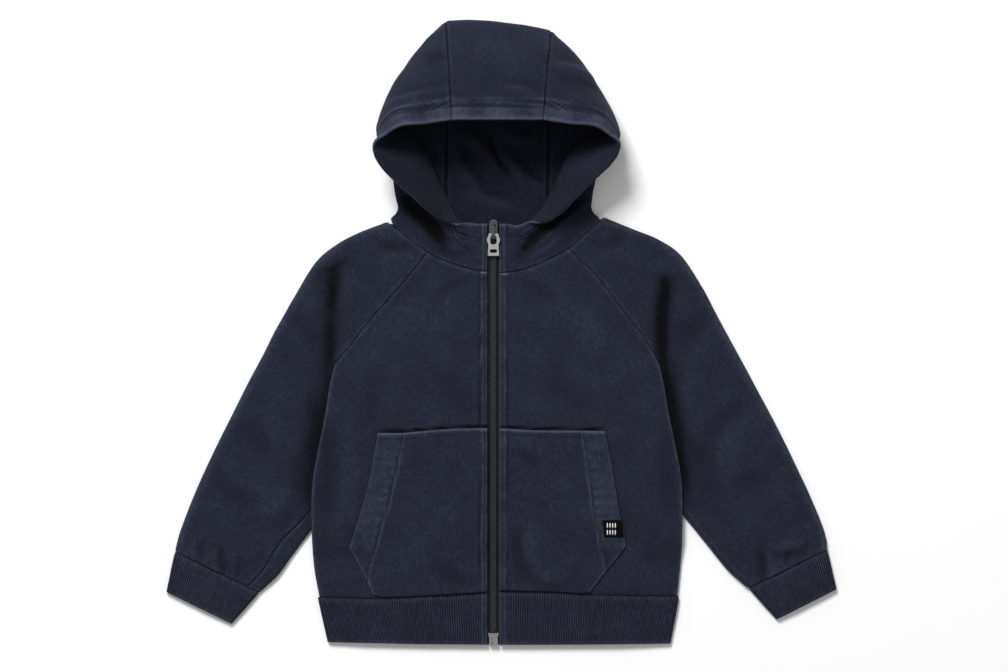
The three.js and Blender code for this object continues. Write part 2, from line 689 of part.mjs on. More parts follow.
function hoodSection(side, row, cols) {
  const table = HOOD_ROWS.map((places) => places.flat());
  const flat = sectionAt(table, row);
  const places = SAG_SHARE.map((_, k) => hoodPoint(side, flat.slice(3 * k, 3 * k + 3), k));
  if (row !== CORNER_ROW) {
    places[0][1] = Math.max(places[0][1], neckY(side, row, places[0][0]) + NECK_GAP);
  }
  const points = [];
  for (let i = 0; i <= cols; i += 1) {
    const place = ((places.length - 1) * i) / cols;
    const p = sectionAt(places, place);
    points.push([p[0], p[1], Math.max(HOOD_CLOTH / 2, p[2])]);
  }
  return points;
}

// The neck seam's Y for a section of the hood: over the front, along the sleeve's end, or at the back.
function neckY(side, row, x) {
  const out = MIRROR[side] * x;
  const [frontOut, frontY, foldOut, foldY, backOut, backY] = YOKE_ROWS[side][0];
  if (row >= BACK_ROWS_FROM) {
    return out < backOut ? mix(BACK_NECK_Y, backY, smooth(out / backOut))
      : mix(backY, foldY, (out - backOut) / (foldOut - backOut));
  }
  return out < frontOut ? lookUp(NECK_SEAM[side], out)
    : mix(frontY, foldY, (out - frontOut) / (foldOut - frontOut));
}

const HOOD_COLS = 15;
const HOOD_SUBROWS = 2;
// Shares of a row and of the middle panel's width that the middle seams take
const SIDE_SEAM_SHARE = 0.012;
const CENTER_SEAM_SHARE = 0.006;

function hoodSide(side) {
  const last = (HOOD_ROWS.length - 1) * HOOD_SUBROWS;
  const grid = [];
  for (let j = 0; j <= last; j += 1) {
    const place = Math.min(j / HOOD_SUBROWS, HOOD_ROWS.length - 1 - SIDE_SEAM_SHARE);
    grid.push(hoodSection(side, place, HOOD_COLS));
  }
  return meshOf(`hood_side_${side}`, wall(grid, HOOD_CLOTH), material('fleece'));
}

function hoodCenter() {
  const cols = 8;
  const last = HOOD_ROWS.length - 1;
  const left = hoodSection('left', last, HOOD_COLS);
  const right = hoodSection('right', last, HOOD_COLS);
  const grid = left.map((a, j) => {
    const place = ((SAG_SHARE.length - 1) * j) / HOOD_COLS;
    const [rise, swell] = sectionAt(CROWN_BULGE, place);
    return Array.from({ length: cols + 1 }, (_, i) => {
      const u = mix(CENTER_SEAM_SHARE, 1 - CENTER_SEAM_SHARE, i / cols);
      const arch = Math.sin(Math.PI * u) ** 0.8;
      const p = blend(a, right[j], u);
      return [p[0], p[1] + rise * arch, Math.max(HOOD_CLOTH / 2, p[2] + swell * arch)];
    });
  });
  return meshOf('hood_center', wall(grid, HOOD_CLOTH), material('fleece'));
}

// Pockets lie on the fronts.
function pocket(side) {
  const m = MIRROR[side];
  const outline = POCKET[side];
  const openingShare = 0.7; // of the pocket's outer border
  const hemGap = 1.2;
  const signed = (row) => [m * row[0], row[1]];
  const top = curveThrough([...outline.top].reverse().map(signed));
  const opening = curveThrough(outline.opening.map(signed));
  const lower = curveThrough(outline.lower.map(signed));
  const zipEdge = ZIP_X + m * ZIP_HALF_STRIP;
  const outer = (v) => (v < openingShare
    ? opening(v / openingShare) : lower((v - openingShare) / (1 - openingShare)));
  const corner = outer(1);
  const bottomY = (x) => lookUp(HEM_SEAM, x) + hemGap;
  const bottom = (u) => {
    const x = mix(zipEdge, corner[0], u);
    return [x, u === 1 ? corner[1] : mix(bottomY(x), corner[1], smooth((u - 0.9) / 0.1))];
  };
  const zipLine = (v) => [zipEdge, mix(top(0)[1], bottom(0)[1], v)];
  const plan = patch((u) => (u === 0 ? zipLine(0) : top(u)), bottom, zipLine, outer);
  const height = heightOn(frontGrid(side));
  const grid = gridOf(8, 10, (u, v) => {
    const [x, y] = plan(u, v);
    return [x, y, height(x, y) + (FLEECE + POCKET_CLOTH) / 2 + LAYER_GAP];
  });
  return meshOf(`pocket_${side}`, wall(grid, POCKET_CLOTH), material('fleece'));
}

function label() {
  const height = heightOn(frontGrid('right'));
  const overPocket = FLEECE / 2 + POCKET_CLOTH + 2 * LAYER_GAP + LABEL_CLOTH / 2;
  const grid = gridOf(3, 3, (u, v) => {
    const x = mix(LABEL.left, LABEL.right, u) + LABEL.slant * v;
    const y = mix(LABEL.top, LABEL.bottom, v);
    return [x, y, height(x, y) + overPocket];
  });
  return meshOf('label', wall(grid, LABEL_CLOTH), material('label', 0.8));
}

// Zip
const TAPE_DROP = 2.15; // middle of the tape below the middle of the cloth beside it
const TAPE_HALF = 12.5;
const TAPE_INNER = 0.25;
const TAPE_FOOT = 9; // from the hem's edge up to the tape's end
const CHAIN_FOOT = 11.6;
const CHAIN_TOP_Y = 92;
const CHAIN_GAP = 0.3; // over the tape
const CHAIN_BASE = 0.2;

function tape(side) {
  const m = MIRROR[side];
  const stations = [ZIP_TOP_Y, NECK_ZIP_Y, HEM_Y + TAPE_FOOT];
  const grid = gridOf(2, stations.length - 1, (u, v) => {
    const y = stations[Math.round(v * (stations.length - 1))];
    return [ZIP_X + m * mix(TAPE_INNER, TAPE_HALF, u), y, zipZ(y) - TAPE_DROP];
  });
  return meshOf(`zip_tape_${side}`, wall(grid, TAPE_CLOTH), material('tape', 0.85));
}

const chainZ = (y) => zipZ(y) - TAPE_DROP + TAPE_CLOTH / 2 + CHAIN_GAP;

function chain() {
  const profile = [[-1, 0], [-0.86, 0.62], [-0.36, 1], [0, 0.82], [0.36, 1], [0.86, 0.62], [1, 0]];
  const stations = [CHAIN_TOP_Y, NECK_ZIP_Y, HEM_Y + CHAIN_FOOT];
  const layer = (rise) => stations.map((y) => profile.map(([across, height]) => (
    [ZIP_X + (across * CHAIN_WIDTH) / 2, y,
      chainZ(y) + rise * (height * CHAIN_HEIGHT + CHAIN_BASE)])));
  return meshOf('zip_chain', solidBetween(layer(1), layer(0), false), material('chain', 0.6));
}

// Metal parts are drawn flat on the zip and tilted with the neck's stand.
const wasm = await Module();
wasm.setup();

function toManifold(geometry) {
  const keys = new Map();
  const positions = [];
  const indices = [];
  const attribute = geometry.getAttribute('position');
  const order = geometry.index ? [...geometry.index.array] : [...Array(attribute.count).keys()];
  for (const n of order) {
    const p = [attribute.getX(n), attribute.getY(n), attribute.getZ(n)].map((c) => Math.round(c * 1e4) / 1e4);
    const key = p.join();
    if (!keys.has(key)) {
      keys.set(key, positions.length / 3);
      positions.push(...p);
    }
    indices.push(keys.get(key));
  }
  return new wasm.Manifold(new wasm.Mesh({
    numProp: 3, vertProperties: new Float32Array(positions), triVerts: new Uint32Array(indices),
  }));
}

function fromManifold(body) {
  const { vertProperties, triVerts } = body.getMesh();
  const geometry = new THREE.BufferGeometry();
  geometry.setAttribute('position', new THREE.Float32BufferAttribute(vertProperties, 3));
  geometry.setIndex([...triVerts]);
  geometry.computeVertexNormals();
  return geometry;
}

function plate(outline, thickness, holes = []) {
  const shape = new THREE.Shape(outline.map(([x, y]) => new THREE.Vector2(x, y)));
  for (const hole of holes) shape.holes.push(new THREE.Path(hole.map(([x, y]) => new THREE.Vector2(x, y))));
  return new THREE.ExtrudeGeometry(shape, { depth: thickness, bevelEnabled: false });
}

const bothSides = (half) => [...half, ...[...half].reverse().map(([x, y]) => [-x, y])];

// Slider. Local Y = 0 is the pull's axis, Z = 0 the plate's underside.
const SLIDER = { plate: 1.4, bridgeWidth: 3.4, axisRise: 1.5, gap: 0.35 };
const PULL = { thick: 1.2, droop: 0.096 };
const AXIS_Y = 94.2;
// Half outlines of the slider's plate and the pull. Columns: x, y.
const SLIDER_HALF = [[2.4, 13.6], [3.9, 11.6], [4, 4], [3.4, -3], [2.6, -4.4]];
const PULL_HALF = [[4.4, 0.9], [5, -1.6], [6.3, -5.4], [4.8, -9.8], [5.2, -16], [5.4, -20], [4.4, -20.6]];
// Side view of the slider's bridge, outside and then inside. Columns: y, z.
const BRIDGE_SIDE = [
  [9.4, 0.7], [9.4, 3.2], [7.4, 5.4], [-1.6, 5.4], [-3.6, 3.6], [-3.6, 0.7],
  [-2.5, 0.7], [-2.5, 3.2], [-1.2, 4.3], [6.8, 4.3], [8.2, 2.8], [8.2, 0.7],
];
// Openings of the pull, the bridge's and the free end's. Columns: y of the middle, half width, half length.
const PULL_HOLES = [[-5.4, 3.1, 4.4], [-16, 3.4, 1.8]];
// Half outlines of the zip's foot. Columns: x, y over the hem's edge.
const FOOT_WINGS = { half: [[5.2, 11.2], [4.6, 8.4], [3, 6.8]], from: 1.1, thick: 1.4 };
const FOOT_BOX = { half: [[4.1, 7.6], [4.1, 0.5], [3.5, 0.2]], from: 0.35, thick: 2.2 };
const sliderZ = zipZ(AXIS_Y) + HOOD_CLOTH / 2 + SLIDER.gap;

function slider() {
  const body = plate(bothSides(SLIDER_HALF), SLIDER.plate);
  const arch = plate(BRIDGE_SIDE, SLIDER.bridgeWidth);
  arch.rotateX(Math.PI / 2);
  arch.rotateZ(Math.PI / 2);
  arch.computeBoundingBox();
  arch.translate(-(arch.boundingBox.max.x + arch.boundingBox.min.x) / 2, 0, 0);
  const joined = fromManifold(toManifold(body).add(toManifold(arch)));
  return meshOf('zip_slider', joined, material('slider', 0.35, 0.9));
}

// Pull tab with a hole for the bridge and a slot at its free end.
function pull() {
  const corners = 14;
  const squareness = 0.6;
  const swing = (value) => Math.sign(value) * Math.abs(value) ** squareness;
  const holes = PULL_HOLES.map(([y, halfWidth, halfLength]) => (
    Array.from({ length: corners }, (_, i) => {
      const angle = (2 * Math.PI * i) / corners;
      return [halfWidth * swing(Math.cos(angle)), y + halfLength * swing(Math.sin(angle))];
    })));
  const geometry = plate(bothSides(PULL_HALF), PULL.thick, holes);
  geometry.translate(0, 0, -PULL.thick / 2);
  return meshOf('zip_pull', fromManifold(toManifold(geometry)), material('silver', 0.3, 0.9));
}

function zipBox() {
  const [wings, box] = [FOOT_WINGS, FOOT_BOX].map(({ half, from, thick }) => {
    const geometry = plate(bothSides(half), thick);
    geometry.translate(0, HEM_Y, from);
    return toManifold(geometry);
  });
  const mesh = meshOf('zip_box', fromManifold(wings.add(box)), material('silver', 0.35, 0.9));
  mesh.position.set(ZIP_X, 0, zipZ(HEM_Y) - TAPE_DROP + TAPE_CLOTH / 2);
  return mesh;
}

const hoodie = new THREE.Group();
hoodie.name = 'hoodie';
hoodie.add(backPanel());
for (const side of ['left', 'right']) {
  hoodie.add(frontPanel(side));
  hoodie.add(sleeve(side));
  hoodie.add(cuff(side));
  hoodie.add(hoodSide(side));
  hoodie.add(pocket(side));
  hoodie.add(tape(side));
}
hoodie.add(hemBand());
hoodie.add(hoodCenter());
hoodie.add(chain());
hoodie.add(zipBox());
hoodie.add(label());

const runner = new THREE.Group();
runner.position.set(ZIP_X, AXIS_Y, sliderZ);
runner.rotation.x = Math.atan(STAND_SLOPE);
runner.add(slider());
const tab = pull();
tab.position.set(0, 0, SLIDER.plate + SLIDER.axisRise);
tab.rotation.x = PULL.droop;
runner.add(tab);
hoodie.add(runner);

export default hoodie;
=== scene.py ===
"""A toddler's washed navy zip hoodie laid flat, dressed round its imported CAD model.

Tables and sizes are in millimetres in the CAD frame: X to the picture's right, Y towards the hood and
Z up from the table. Left and right are those of the picture. Meshes are made in metres.
"""

import math

import bmesh
import bpy
import numpy as np
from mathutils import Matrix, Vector
from mathutils.bvhtree import BVHTree


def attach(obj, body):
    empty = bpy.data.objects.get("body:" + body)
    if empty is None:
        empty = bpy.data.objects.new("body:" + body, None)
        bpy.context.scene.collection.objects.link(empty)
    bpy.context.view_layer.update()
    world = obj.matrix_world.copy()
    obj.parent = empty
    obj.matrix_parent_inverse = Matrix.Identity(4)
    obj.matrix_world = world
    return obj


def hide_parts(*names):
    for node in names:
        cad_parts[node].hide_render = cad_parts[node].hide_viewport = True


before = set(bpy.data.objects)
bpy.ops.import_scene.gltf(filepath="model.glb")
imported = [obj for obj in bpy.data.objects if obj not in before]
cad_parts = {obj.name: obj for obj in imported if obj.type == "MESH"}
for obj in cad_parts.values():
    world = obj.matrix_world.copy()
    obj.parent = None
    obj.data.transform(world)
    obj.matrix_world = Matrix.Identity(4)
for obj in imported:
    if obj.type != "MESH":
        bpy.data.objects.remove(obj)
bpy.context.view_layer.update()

MM = 0.001

# Camera: straight above, with a long lens
CAMERA_HEIGHT = 4.0
VIEW_WIDTH = 0.9576
VIEW_CENTRE = (0.0024, -0.0024)
SENSOR = 36.0

# Cloth
FLEECE = 2.0
HOOD_CLOTH = 2.4
POCKET_CLOTH = 1.6
TAPE_CLOTH = 0.8
LABEL_CLOTH = 0.8

# Gaps and layers
SEAM = 0.05
LAYER_GAP = 0.5
NECK_GAP = 0.2
FOLD_RADIUS = 1.4
TUCK_RADIUS = 1.15
EDGE_ROUNDING = 0.38  # of a wall's thickness, at its open edges
BACK_Z = FLEECE / 2
FRONT_RISE = BACK_Z + 2 * FOLD_RADIUS
TUCK_LIFT = 4.8
FRONT_LOFT = 1.6
SLEEVE_LOFT = 1.5

# Zip
ZIP_X = -7.6
ZIP_HALF_STRIP = 5.7
NECK_ZIP_Y = 59.2
ZIP_TOP_Y = 104
HEM_Y = -295.4
STAND_SLOPE = 0.104
CHAIN_TOP_Y = 92
CHAIN_FOOT_Y = HEM_Y + 11.6
TAPE_FOOT_Y = HEM_Y + 9
TAPE_DROP = 2.15
TAPE_HALF = 12.5
COIL_PITCH = 1.45
COIL_HALF = 3.1
PLACKET_STITCH = 6.9  # from the folded front edge to its line of stitches

# Ribs
RIB_PITCH = 2.3
RIB_HEIGHT = 0.45

# Hood hem
HEM_STITCHES = (13.2, 17.2)  # from the brim's edge to each line of stitches

SIDES = ("left", "right")
MIRROR = {"left": -1, "right": 1}

# Body outline. Columns: out, y. The first row is the armpit and the last the hem seam.
SIDE_EDGE = {
    "left": [(158.5, -29.5), (163, -50), (167.2, -77), (174.3, -112), (179.3, -143), (180, -185),
             (178, -221), (173, -249.6)],
    "right": [(149.5, -28), (154.3, -50), (159, -77), (166.2, -112), (171, -141), (171.6, -172),
              (171, -206), (167, -249)],
}
# Line along which the sleeve drops off the body's side. Columns: out, y.
YOKE_FOLD = {
    "left": [(146, 72), (158.5, 60), (160, 20), (160, -29.5)],
    "right": [(150, 60), (152.5, 40), (151, 10), (151, -28)],
}
# Hem seam and hem edge. Columns: x, y.
HEM_SEAM = [(-175, -250.2), (-123, -251.8), (-68, -249.4), (-22, -246.8), (0, -244.6),
            (51, -246.1), (85, -248.2), (170, -249.6)]
HEM_EDGE = [(-164, -293), (-80, -294.8), (0, -295.4), (80, -295.2), (161, -294.4)]
# Front neck seam from the zip to the raglan seam. Columns: out, y.
NECK_SEAM = {
    "left": [(13.3, 59.2), (25, 60), (39.4, 64.1), (52.2, 68.4), (61.3, 72.4), (70.4, 77)],
    "right": [(1.9, 58), (12, 58.8), (26.7, 62.8), (39, 67.6), (50.8, 73), (64.5, 80.5)],
}
BACK_NECK_Y = 96.4
# Yoke of the sleeve. Columns: front seam out, y; outer fold out, y; back seam out, y.
YOKE_ROWS = {
    "left": [
        (70.4, 77, 107.8, 105, 66, 97.2),
        (82.4, 61.8, 134.4, 95, 80, 78),
        (94.3, 47.4, 156.7, 83.1, 93, 59),
        (107, 32.6, 176, 66.5, 106, 41),
        (128, 8.6, 196, 34, 127, 13),
        (143, -10.9, 206, 16.5, 142.4, -9),
        (158.5, -29.5, 215, 0.5, 158.5, -29.5),
    ],
    "right": [
        (64.5, 80.5, 96.5, 109.5, 60, 98.4),
        (75.4, 69.6, 125, 98, 73, 83),
        (88, 57.6, 148, 88.6, 87, 66),
        (100.6, 41.6, 169.6, 73.6, 100, 48),
        (119.5, 16.6, 190, 43, 119, 20),
        (135.5, -4, 201, 22, 135, -2),
        (149.5, -28, 210, 5, 149.5, -28),
    ],
}
# Arm of the sleeve. Columns: outer fold out, y; inner fold out, y; wrap onto the front.
ARM_ROWS = {
    "left": [
        (224, -18, 162.9, -48, 0),
        (232, -33, 147, -64, 0.5),
        (241, -50, 143, -87, 0.5),
        (255, -78, 147, -117, 1),
        (270, -108, 160.5, -151, 5),
        (284.5, -139, 180.6, -184, 11),
        (293.4, -160, 191, -199, 15),
        (300.4, -178, 201, -212.5, 15),
        (305.6, -193, 213, -229, 13),
        (308.8, -207.4, 230.6, -245.4, 10),
    ],
    "right": [
        (222, -17, 154.2, -48, 0),
        (231.5, -34.4, 139, -64, 0.5),
        (243, -56, 136, -87, 0.5),
        (257.5, -83, 142, -115, 0.5),
        (273, -114, 157, -145, 0.5),
        (288, -146, 172.8, -171, 0.5),
        (297, -166, 185.5, -187, 0.5),
        (303.4, -182, 199.5, -204.5, 0.5),
        (306.8, -193.6, 216.5, -225, 0.5),
        (308.2, -205.6, 235.4, -241.4, 0.5),
    ],
}
# Cuff edge corners. Columns: out, y, first inner and then outer.
CUFF_EDGE = {
    "left": [(257, -275.3), (317.4, -245.8)],
    "right": [(262, -271.2), (317.4, -243.2)],
}
# Hood side panel, a row for each section from the zip edge to the middle panel's seam, with six places
# from the neck seam to the brim. Columns: half, y, z of each place.
HOOD_ROWS = [
    [(5.7, 59.9, 5.4), (5.7, 68.5, 6.4), (5.7, 77.5, 7.3),
     (5.7, 86.5, 8.2), (5.7, 95.5, 9.2), (5.7, 104, 10.1)],
    [(32, 64.9, 5.6), (30.5, 74, 6.9), (30, 83, 8.1),
     (29, 97, 9.6), (30.5, 101.5, 11.8), (33, 104.4, 14)],
    [(52.5, 72.4, 4.9), (49.5, 81, 6.6), (45, 96, 8.2),
     (41, 113, 10.5), (44.5, 110, 16), (48.5, 106, 21)],
    [(73.5, 83.4, 4.6), (67.5, 91, 6), (58, 110, 8),
     (52.5, 135, 11), (64, 130, 24), (76.5, 124, 35)],
    [(89, 95.6, 4.4), (82.5, 104, 5.4), (71, 126, 7.4),
     (61, 154, 12), (77, 148, 28), (96, 140.4, 42)],
    [(99.4, 108.4, 2.8), (94, 115.4, 4), (88, 131, 6),
     (70, 170, 12.5), (90, 165, 31), (112.5, 159.4, 47)],
    [(80, 102.4, 1.2), (91.5, 119.2, 1.2), (99, 137, 3),
     (92, 188, 12), (108, 183, 32), (118, 177, 50)],
    [(67, 99.4, 1.2), (80.5, 131.6, 1.2), (99, 166, 3),
     (115.6, 190, 20), (115.4, 188, 38), (108, 186, 54)],
    [(57, 98.2, 1.2), (68.5, 146, 1.2), (89, 205, 3),
     (106, 225, 20), (103, 212, 45), (93, 194, 58)],
    [(52.5, 97.8, 1.2), (58.5, 165, 1.2), (71, 246, 4),
     (84, 261, 21), (75, 235, 49), (70, 195.7, 61)],
    [(48, 97.5, 1.2), (48.5, 174, 1.2), (49, 272, 4),
     (49.5, 293.5, 20), (46.5, 256, 49), (42.5, 199.5, 61.5)],
]
HOOD_LEAN = [(59, 0), (95, 1.5), (130, 3.4), (200, 4), (296, 4.7)]  # columns: y, lean to the right
# The hood's outline is drawn in at the neck and crown. Columns: y, how far.
HOOD_TRIM = {
    "left": [(59, 0), (105, 0), (130, 4), (150, 2), (165, 1), (190, 3.5), (250, 4), (275, 2), (296, 0)],
    "right": [(59, 0), (105, 0), (120, 6), (137, 9), (150, 8), (165, 4), (190, 3), (250, 3), (275, 1),
              (296, 0)],
}
TRIM_FROM = 60
TRIM_FADE = 20
CORNER_ROW = 5
BACK_ROWS_FROM = 5.5
HOOD_SAG = 9.5
SAG_SHARE = [0, 0, 0.6, 1, 0.45, 0]
CROWN_BULGE = [(0, 0), (0, 0), (2, 0), (4.8, 0), (2, 3), (0, 3)]  # y and z at the six places

# Pocket outlines. Columns: out, y.
POCKET = {
    "left": {
        "top": [(117.3, -94.5), (94.5, -94.3), (70.2, -92.2), (46.1, -90.4), (13.5, -89.8)],
        "opening": [(117.3, -94.5), (120.2, -111), (124.9, -137.3), (131.6, -162.9), (139.7, -188.1),
                    (144.2, -202.8)],
        "lower": [(144.2, -202.8), (136.3, -218), (126.8, -236.1), (121.4, -248)],
    },
    "right": {
        "top": [(98.1, -92.6), (75.1, -92.2), (51, -92), (26.7, -91.7), (1.7, -90)],
        "opening": [(98.1, -92.6), (103.4, -117.9), (107.8, -143), (112, -169.6), (116, -186),
                    (117.8, -201.9)],
        "lower": [(117.8, -201.9), (108, -214.6), (97.4, -227.6), (84, -245.4)],
    },
}
# Stitches along the pocket's facing. Columns: x, y.
FACING_STITCH = {
    "left": [(-93.6, -95.5), (-98.1, -120.2), (-104, -145.8), (-108.8, -164.8), (-115.4, -185.7),
             (-121.1, -206.6), (-126.8, -226.1)],
    "right": [(77.9, -93.6), (81.5, -123.6), (87.2, -162.9), (94.1, -197.1), (98.8, -221.5)],
}
POCKET_TACK = {"left": [(-139.2, -192.8), (-113.7, -190.5)], "right": [(93.4, -198.6), (115, -199.4)]}

# Valley where the sleeve drops off the body. Columns: x, y.
VALLEY = {
    "left": [(-146.8, 69.8), (-160.1, 61.3), (-159.1, 20.4), (-160.1, -28), (-162.4, -52.3),
             (-172.4, -101.2), (-181, -143), (-183, -190)],
    "right": [(153.9, 44.7), (150.6, 25.2), (150.3, -4.3), (150.6, -28), (157.2, -64.1), (164.8, -101.2),
              (172, -141), (173, -185)],
}
VALLEY_ENDS = {"left": (74, -196), "right": (62, -180)}
VALLEY_PAINTED_SHADE = {"left": 0.3, "right": 0.48}  # painted shade: how much darker the cloth is painted in the valley
# Tacks across the neck seam beside the zip. Columns: x, y, x, y.
NECK_TACKS = [(-19.5, 57.6, -14.7, 57.4), (-0.5, 56.2, 5.7, 56.0)]

# Main creases. Columns: x, y, x, y, bow to the left of its direction, half width, height (troughs below 0).
BODY_CREASES = [
    (12, -112, 36, -126, 2, 6, -0.7),
    (17, -186, 27, -232, -6, 6, -0.95),
    (27, -233, 56, -243, -3, 5, -0.6),
    (-26, -236, -58, -222, 4, 8, -0.6),
    (-165, -88, -168, -180, 3, 10, -0.7),
    (158, -90, 162, -170, -3, 9, -0.6),
    (-118, 0, -60, 20, 6, 14, 0.5),
    (96, -10, 40, 22, -6, 13, 0.5),
    (-60, -40, -30, -80, 5, 12, -0.35),
    (45, -30, 85, -70, -5, 13, -0.4),
    (-30, 50, -62, 34, -3, 6, -0.5),
    (20, 48, 52, 30, 3, 6, -0.5),
]
SLEEVE_CREASES = [
    (-153, 66, -167, 20, 3, 5, -0.7),
    (-167, 18, -166, -34, 2, 5, -0.7),
    (-178, -60, -187, -128, 4, 8, -0.8),
    (-252, -84, -222, -118, 5, 8, -0.55),
    (-274, -128, -240, -160, -6, 9, -0.6),
    (-200, -150, -232, -172, 4, 7, 0.5),
    (-263.5, -228, -266, -206, 1, 3.2, -1.0),
    (-251, -232, -248, -210, -1, 3.2, -0.7),
    (-286, -214, -282, -198, 1, 3.5, -0.6),
    (-120, 88, -86, 82, -3, 6, -0.8),
    (-112, 70, -84, 74, 3, 5, 0.5),
    (-205, 20, -176, -16, 5, 10, -0.5),
    (160, 46, 156, -22, -3, 5, -0.8),
    (163, -38, 176, -104, -4, 6, -0.8),
    (182, -104, 200, -150, 4, 9, -0.5),
    (225, -70, 196, -104, -5, 9, -0.6),
    (262, -120, 226, -142, 5, 9, -0.5),
    (246, -206, 248.5, -236, 1, 4, -1.2),
    (256, -210.5, 287, -204, -3, 4, -0.9),
    (270, -222, 274, -206, 1, 3, -0.7),
    (286, -214, 292, -198, 1, 3, -0.6),
    (118, 92, 84, 84, 3, 6, -0.7),
    (200, 18, 172, -14, -5, 10, -0.5),
]
CROWN_CREASES = [
    (50, 251, 92, 236, 2, 4.5, 1.3),
    (56, 240, 98, 226, 2, 5, -0.9),
    (2, 228.5, 33, 223.5, 2, 2.8, 0.9),
    (-110, 214, -48, 228, 2, 3, 0.9),
    (-70, 252, -52, 262, 2, 6, -0.7),
    (36, 262, 44, 252, 1, 4, -0.7),
    (-22, 268, 12, 262, 4, 12, 0.3),
    (-96, 196, -60, 212, 2, 4, -0.5),
    (60, 214, 96, 204, 2, 4, -0.5),
]
NECK_CREASES = [
    (-92, 125, -54, 87, 2, 6.0, -1.5),
    (60, 117, 15, 72, -2, 5.0, -1.5),
    (52, 98, 22, 72, -2, 4.0, 0.9),
    (-46, 90, -28, 70, 2, 3.4, -0.9),
    (-48, 97, -25, 87, 2, 2.6, -0.9),
    (-42, 104, -36, 92, 1, 2.4, 0.8),
    (-34, 82, -18, 92, 2, 2.6, 0.7),
    (-60, 84, -38, 74, -3, 4, -0.7),
    (6, 92, 26, 86, 2, 2.6, -0.9),
    (8, 82, 24, 76, -2, 2.8, 0.8),
    (30, 72, 56, 92, -2, 3.2, 0.8),
]
# Deep folds of the neck that no light reaches. Columns as for creases, with the darkness last.
NECK_SHADOWS = [
    (-94, 128, -54, 88, 2, 7.0, 0.8),
    (74, 124, 17, 73, -3.5, 6.0, 1.0),
    (-40, 100, -30, 84, 2, 2.6, 0.25),
    (14, 97, 30, 92, 1, 2.4, 0.25),
]
LINING_FOLDS = [
    (-40, 190, -8, 160, 4, 3.6, 2.2),
    (-46, 174, -24, 140, -4, 4.2, 1.6),
    (2, 192, 30, 184, -3, 3.2, 2.2),
    (-4, 172, 22, 140, 4, 3.8, 2.0),
    (10, 150, 38, 136, 2, 3.6, 1.6),
    (-30, 134, 8, 120, -3, 4.8, 1.3),
    (-12, 186, 10, 150, -3, 3.4, -1.4),
]


# Sums

def smooth(t):
    t = np.clip(t, 0, 1)
    return t * t * (3 - 2 * t)


def mix(a, b, t):
    return a + (b - a) * t


def hump(d, at, width):
    return np.exp(-(((d - at) / width) ** 2))


def bands(d, table):
    """Soft bands beside an edge. Columns of the table: distance from the edge, half width, strength."""
    return sum(strength * hump(d, at, width) for at, width, strength in table)


def curve_through(rows):
    """A smooth curve through a table's rows, as a function of 0 to 1 along it."""
    rows = np.asarray(rows, float)
    at = np.concatenate(([0.0], np.cumsum(np.linalg.norm(np.diff(rows, axis=0), axis=1))))
    slopes = np.empty_like(rows)
    slopes[0] = (rows[1] - rows[0]) / (at[1] - at[0])
    slopes[-1] = (rows[-1] - rows[-2]) / (at[-1] - at[-2])
    slopes[1:-1] = (rows[2:] - rows[:-2]) / (at[2:] - at[:-2])[:, None]

    def point(t):
        s = np.clip(np.asarray(t, float), 0, 1) * at[-1]
        i = np.clip(np.searchsorted(at, s, side="right") - 1, 0, len(rows) - 2)
        step = (at[i + 1] - at[i])[..., None]
        f = (s - at[i])[..., None] / step
        return ((2 * f**3 - 3 * f**2 + 1) * rows[i] + (f**3 - 2 * f**2 + f) * step * slopes[i]
                + (3 * f**2 - 2 * f**3) * rows[i + 1] + (f**3 - f**2) * step * slopes[i + 1])

    return point


def look_up(rows, key, column=0, value=1):
    rows = np.asarray(rows, float)
    rows = rows[np.argsort(rows[:, column])]
    return np.interp(key, rows[:, column], rows[:, value])


def between_rows(rows, place):
    """Rows of a table, or whole sections, at places between them."""
    rows = np.asarray(rows, float)
    place = np.asarray(place, float)
    i = np.clip(np.floor(place).astype(int), 0, len(rows) - 2)
    f = (place - i).reshape(place.shape + (1,) * (rows.ndim - 1))
    here, after = rows[i], rows[i + 1]
    before, beyond = rows[np.maximum(i - 1, 0)], rows[np.minimum(i + 2, len(rows) - 1)]
    return here + 0.5 * f * (after - before + f * (2 * before - 5 * here + 4 * after - beyond
                                                  + f * (3 * (here - after) + beyond - before)))


def join_rows(sections, place):
    """Sections at places between close ones, on straight lines."""
    i = np.clip(np.floor(place).astype(int), 0, len(sections) - 2)
    return mix(sections[i], sections[i + 1], (place - i)[:, None, None])


def spread(length, pitch, first=0.4, growth=1.5):
    """Places from 0 to 1 along a length, closer together towards both ends."""
    ramp = []
    step = first
    while step < pitch:
        ramp.append(step)
        step *= growth
    middle = length - 2 * sum(ramp)
    count = max(1, math.ceil(middle / pitch))
    steps = ramp + [middle / count] * count + ramp[::-1]
    places = np.concatenate(([0.0], np.cumsum(steps)))
    return places / places[-1]


WOBBLE_WAVES = 7
WOBBLE_SHARE = 3.2  # what the sum of the waves is divided by


def wobble(x, y, wavelength, seed):
    """Soft unevenness between about -1 and 1."""
    chance = np.random.default_rng(seed)
    total = np.zeros(np.broadcast(x, y).shape)
    for _ in range(WOBBLE_WAVES):
        angle, phase = chance.uniform(0, 2 * math.pi, 2)
        size = wavelength * chance.uniform(0.7, 1.6)
        total += np.sin((x * math.cos(angle) + y * math.sin(angle)) * 2 * math.pi / size + phase)
    return total / WOBBLE_SHARE


def waves(x, y, table, shift=0):
    """Sum of wobbles. Columns of the table: height, wavelength, seed."""
    return sum(height * wobble(x, y, wavelength, seed + shift) for height, wavelength, seed in table)


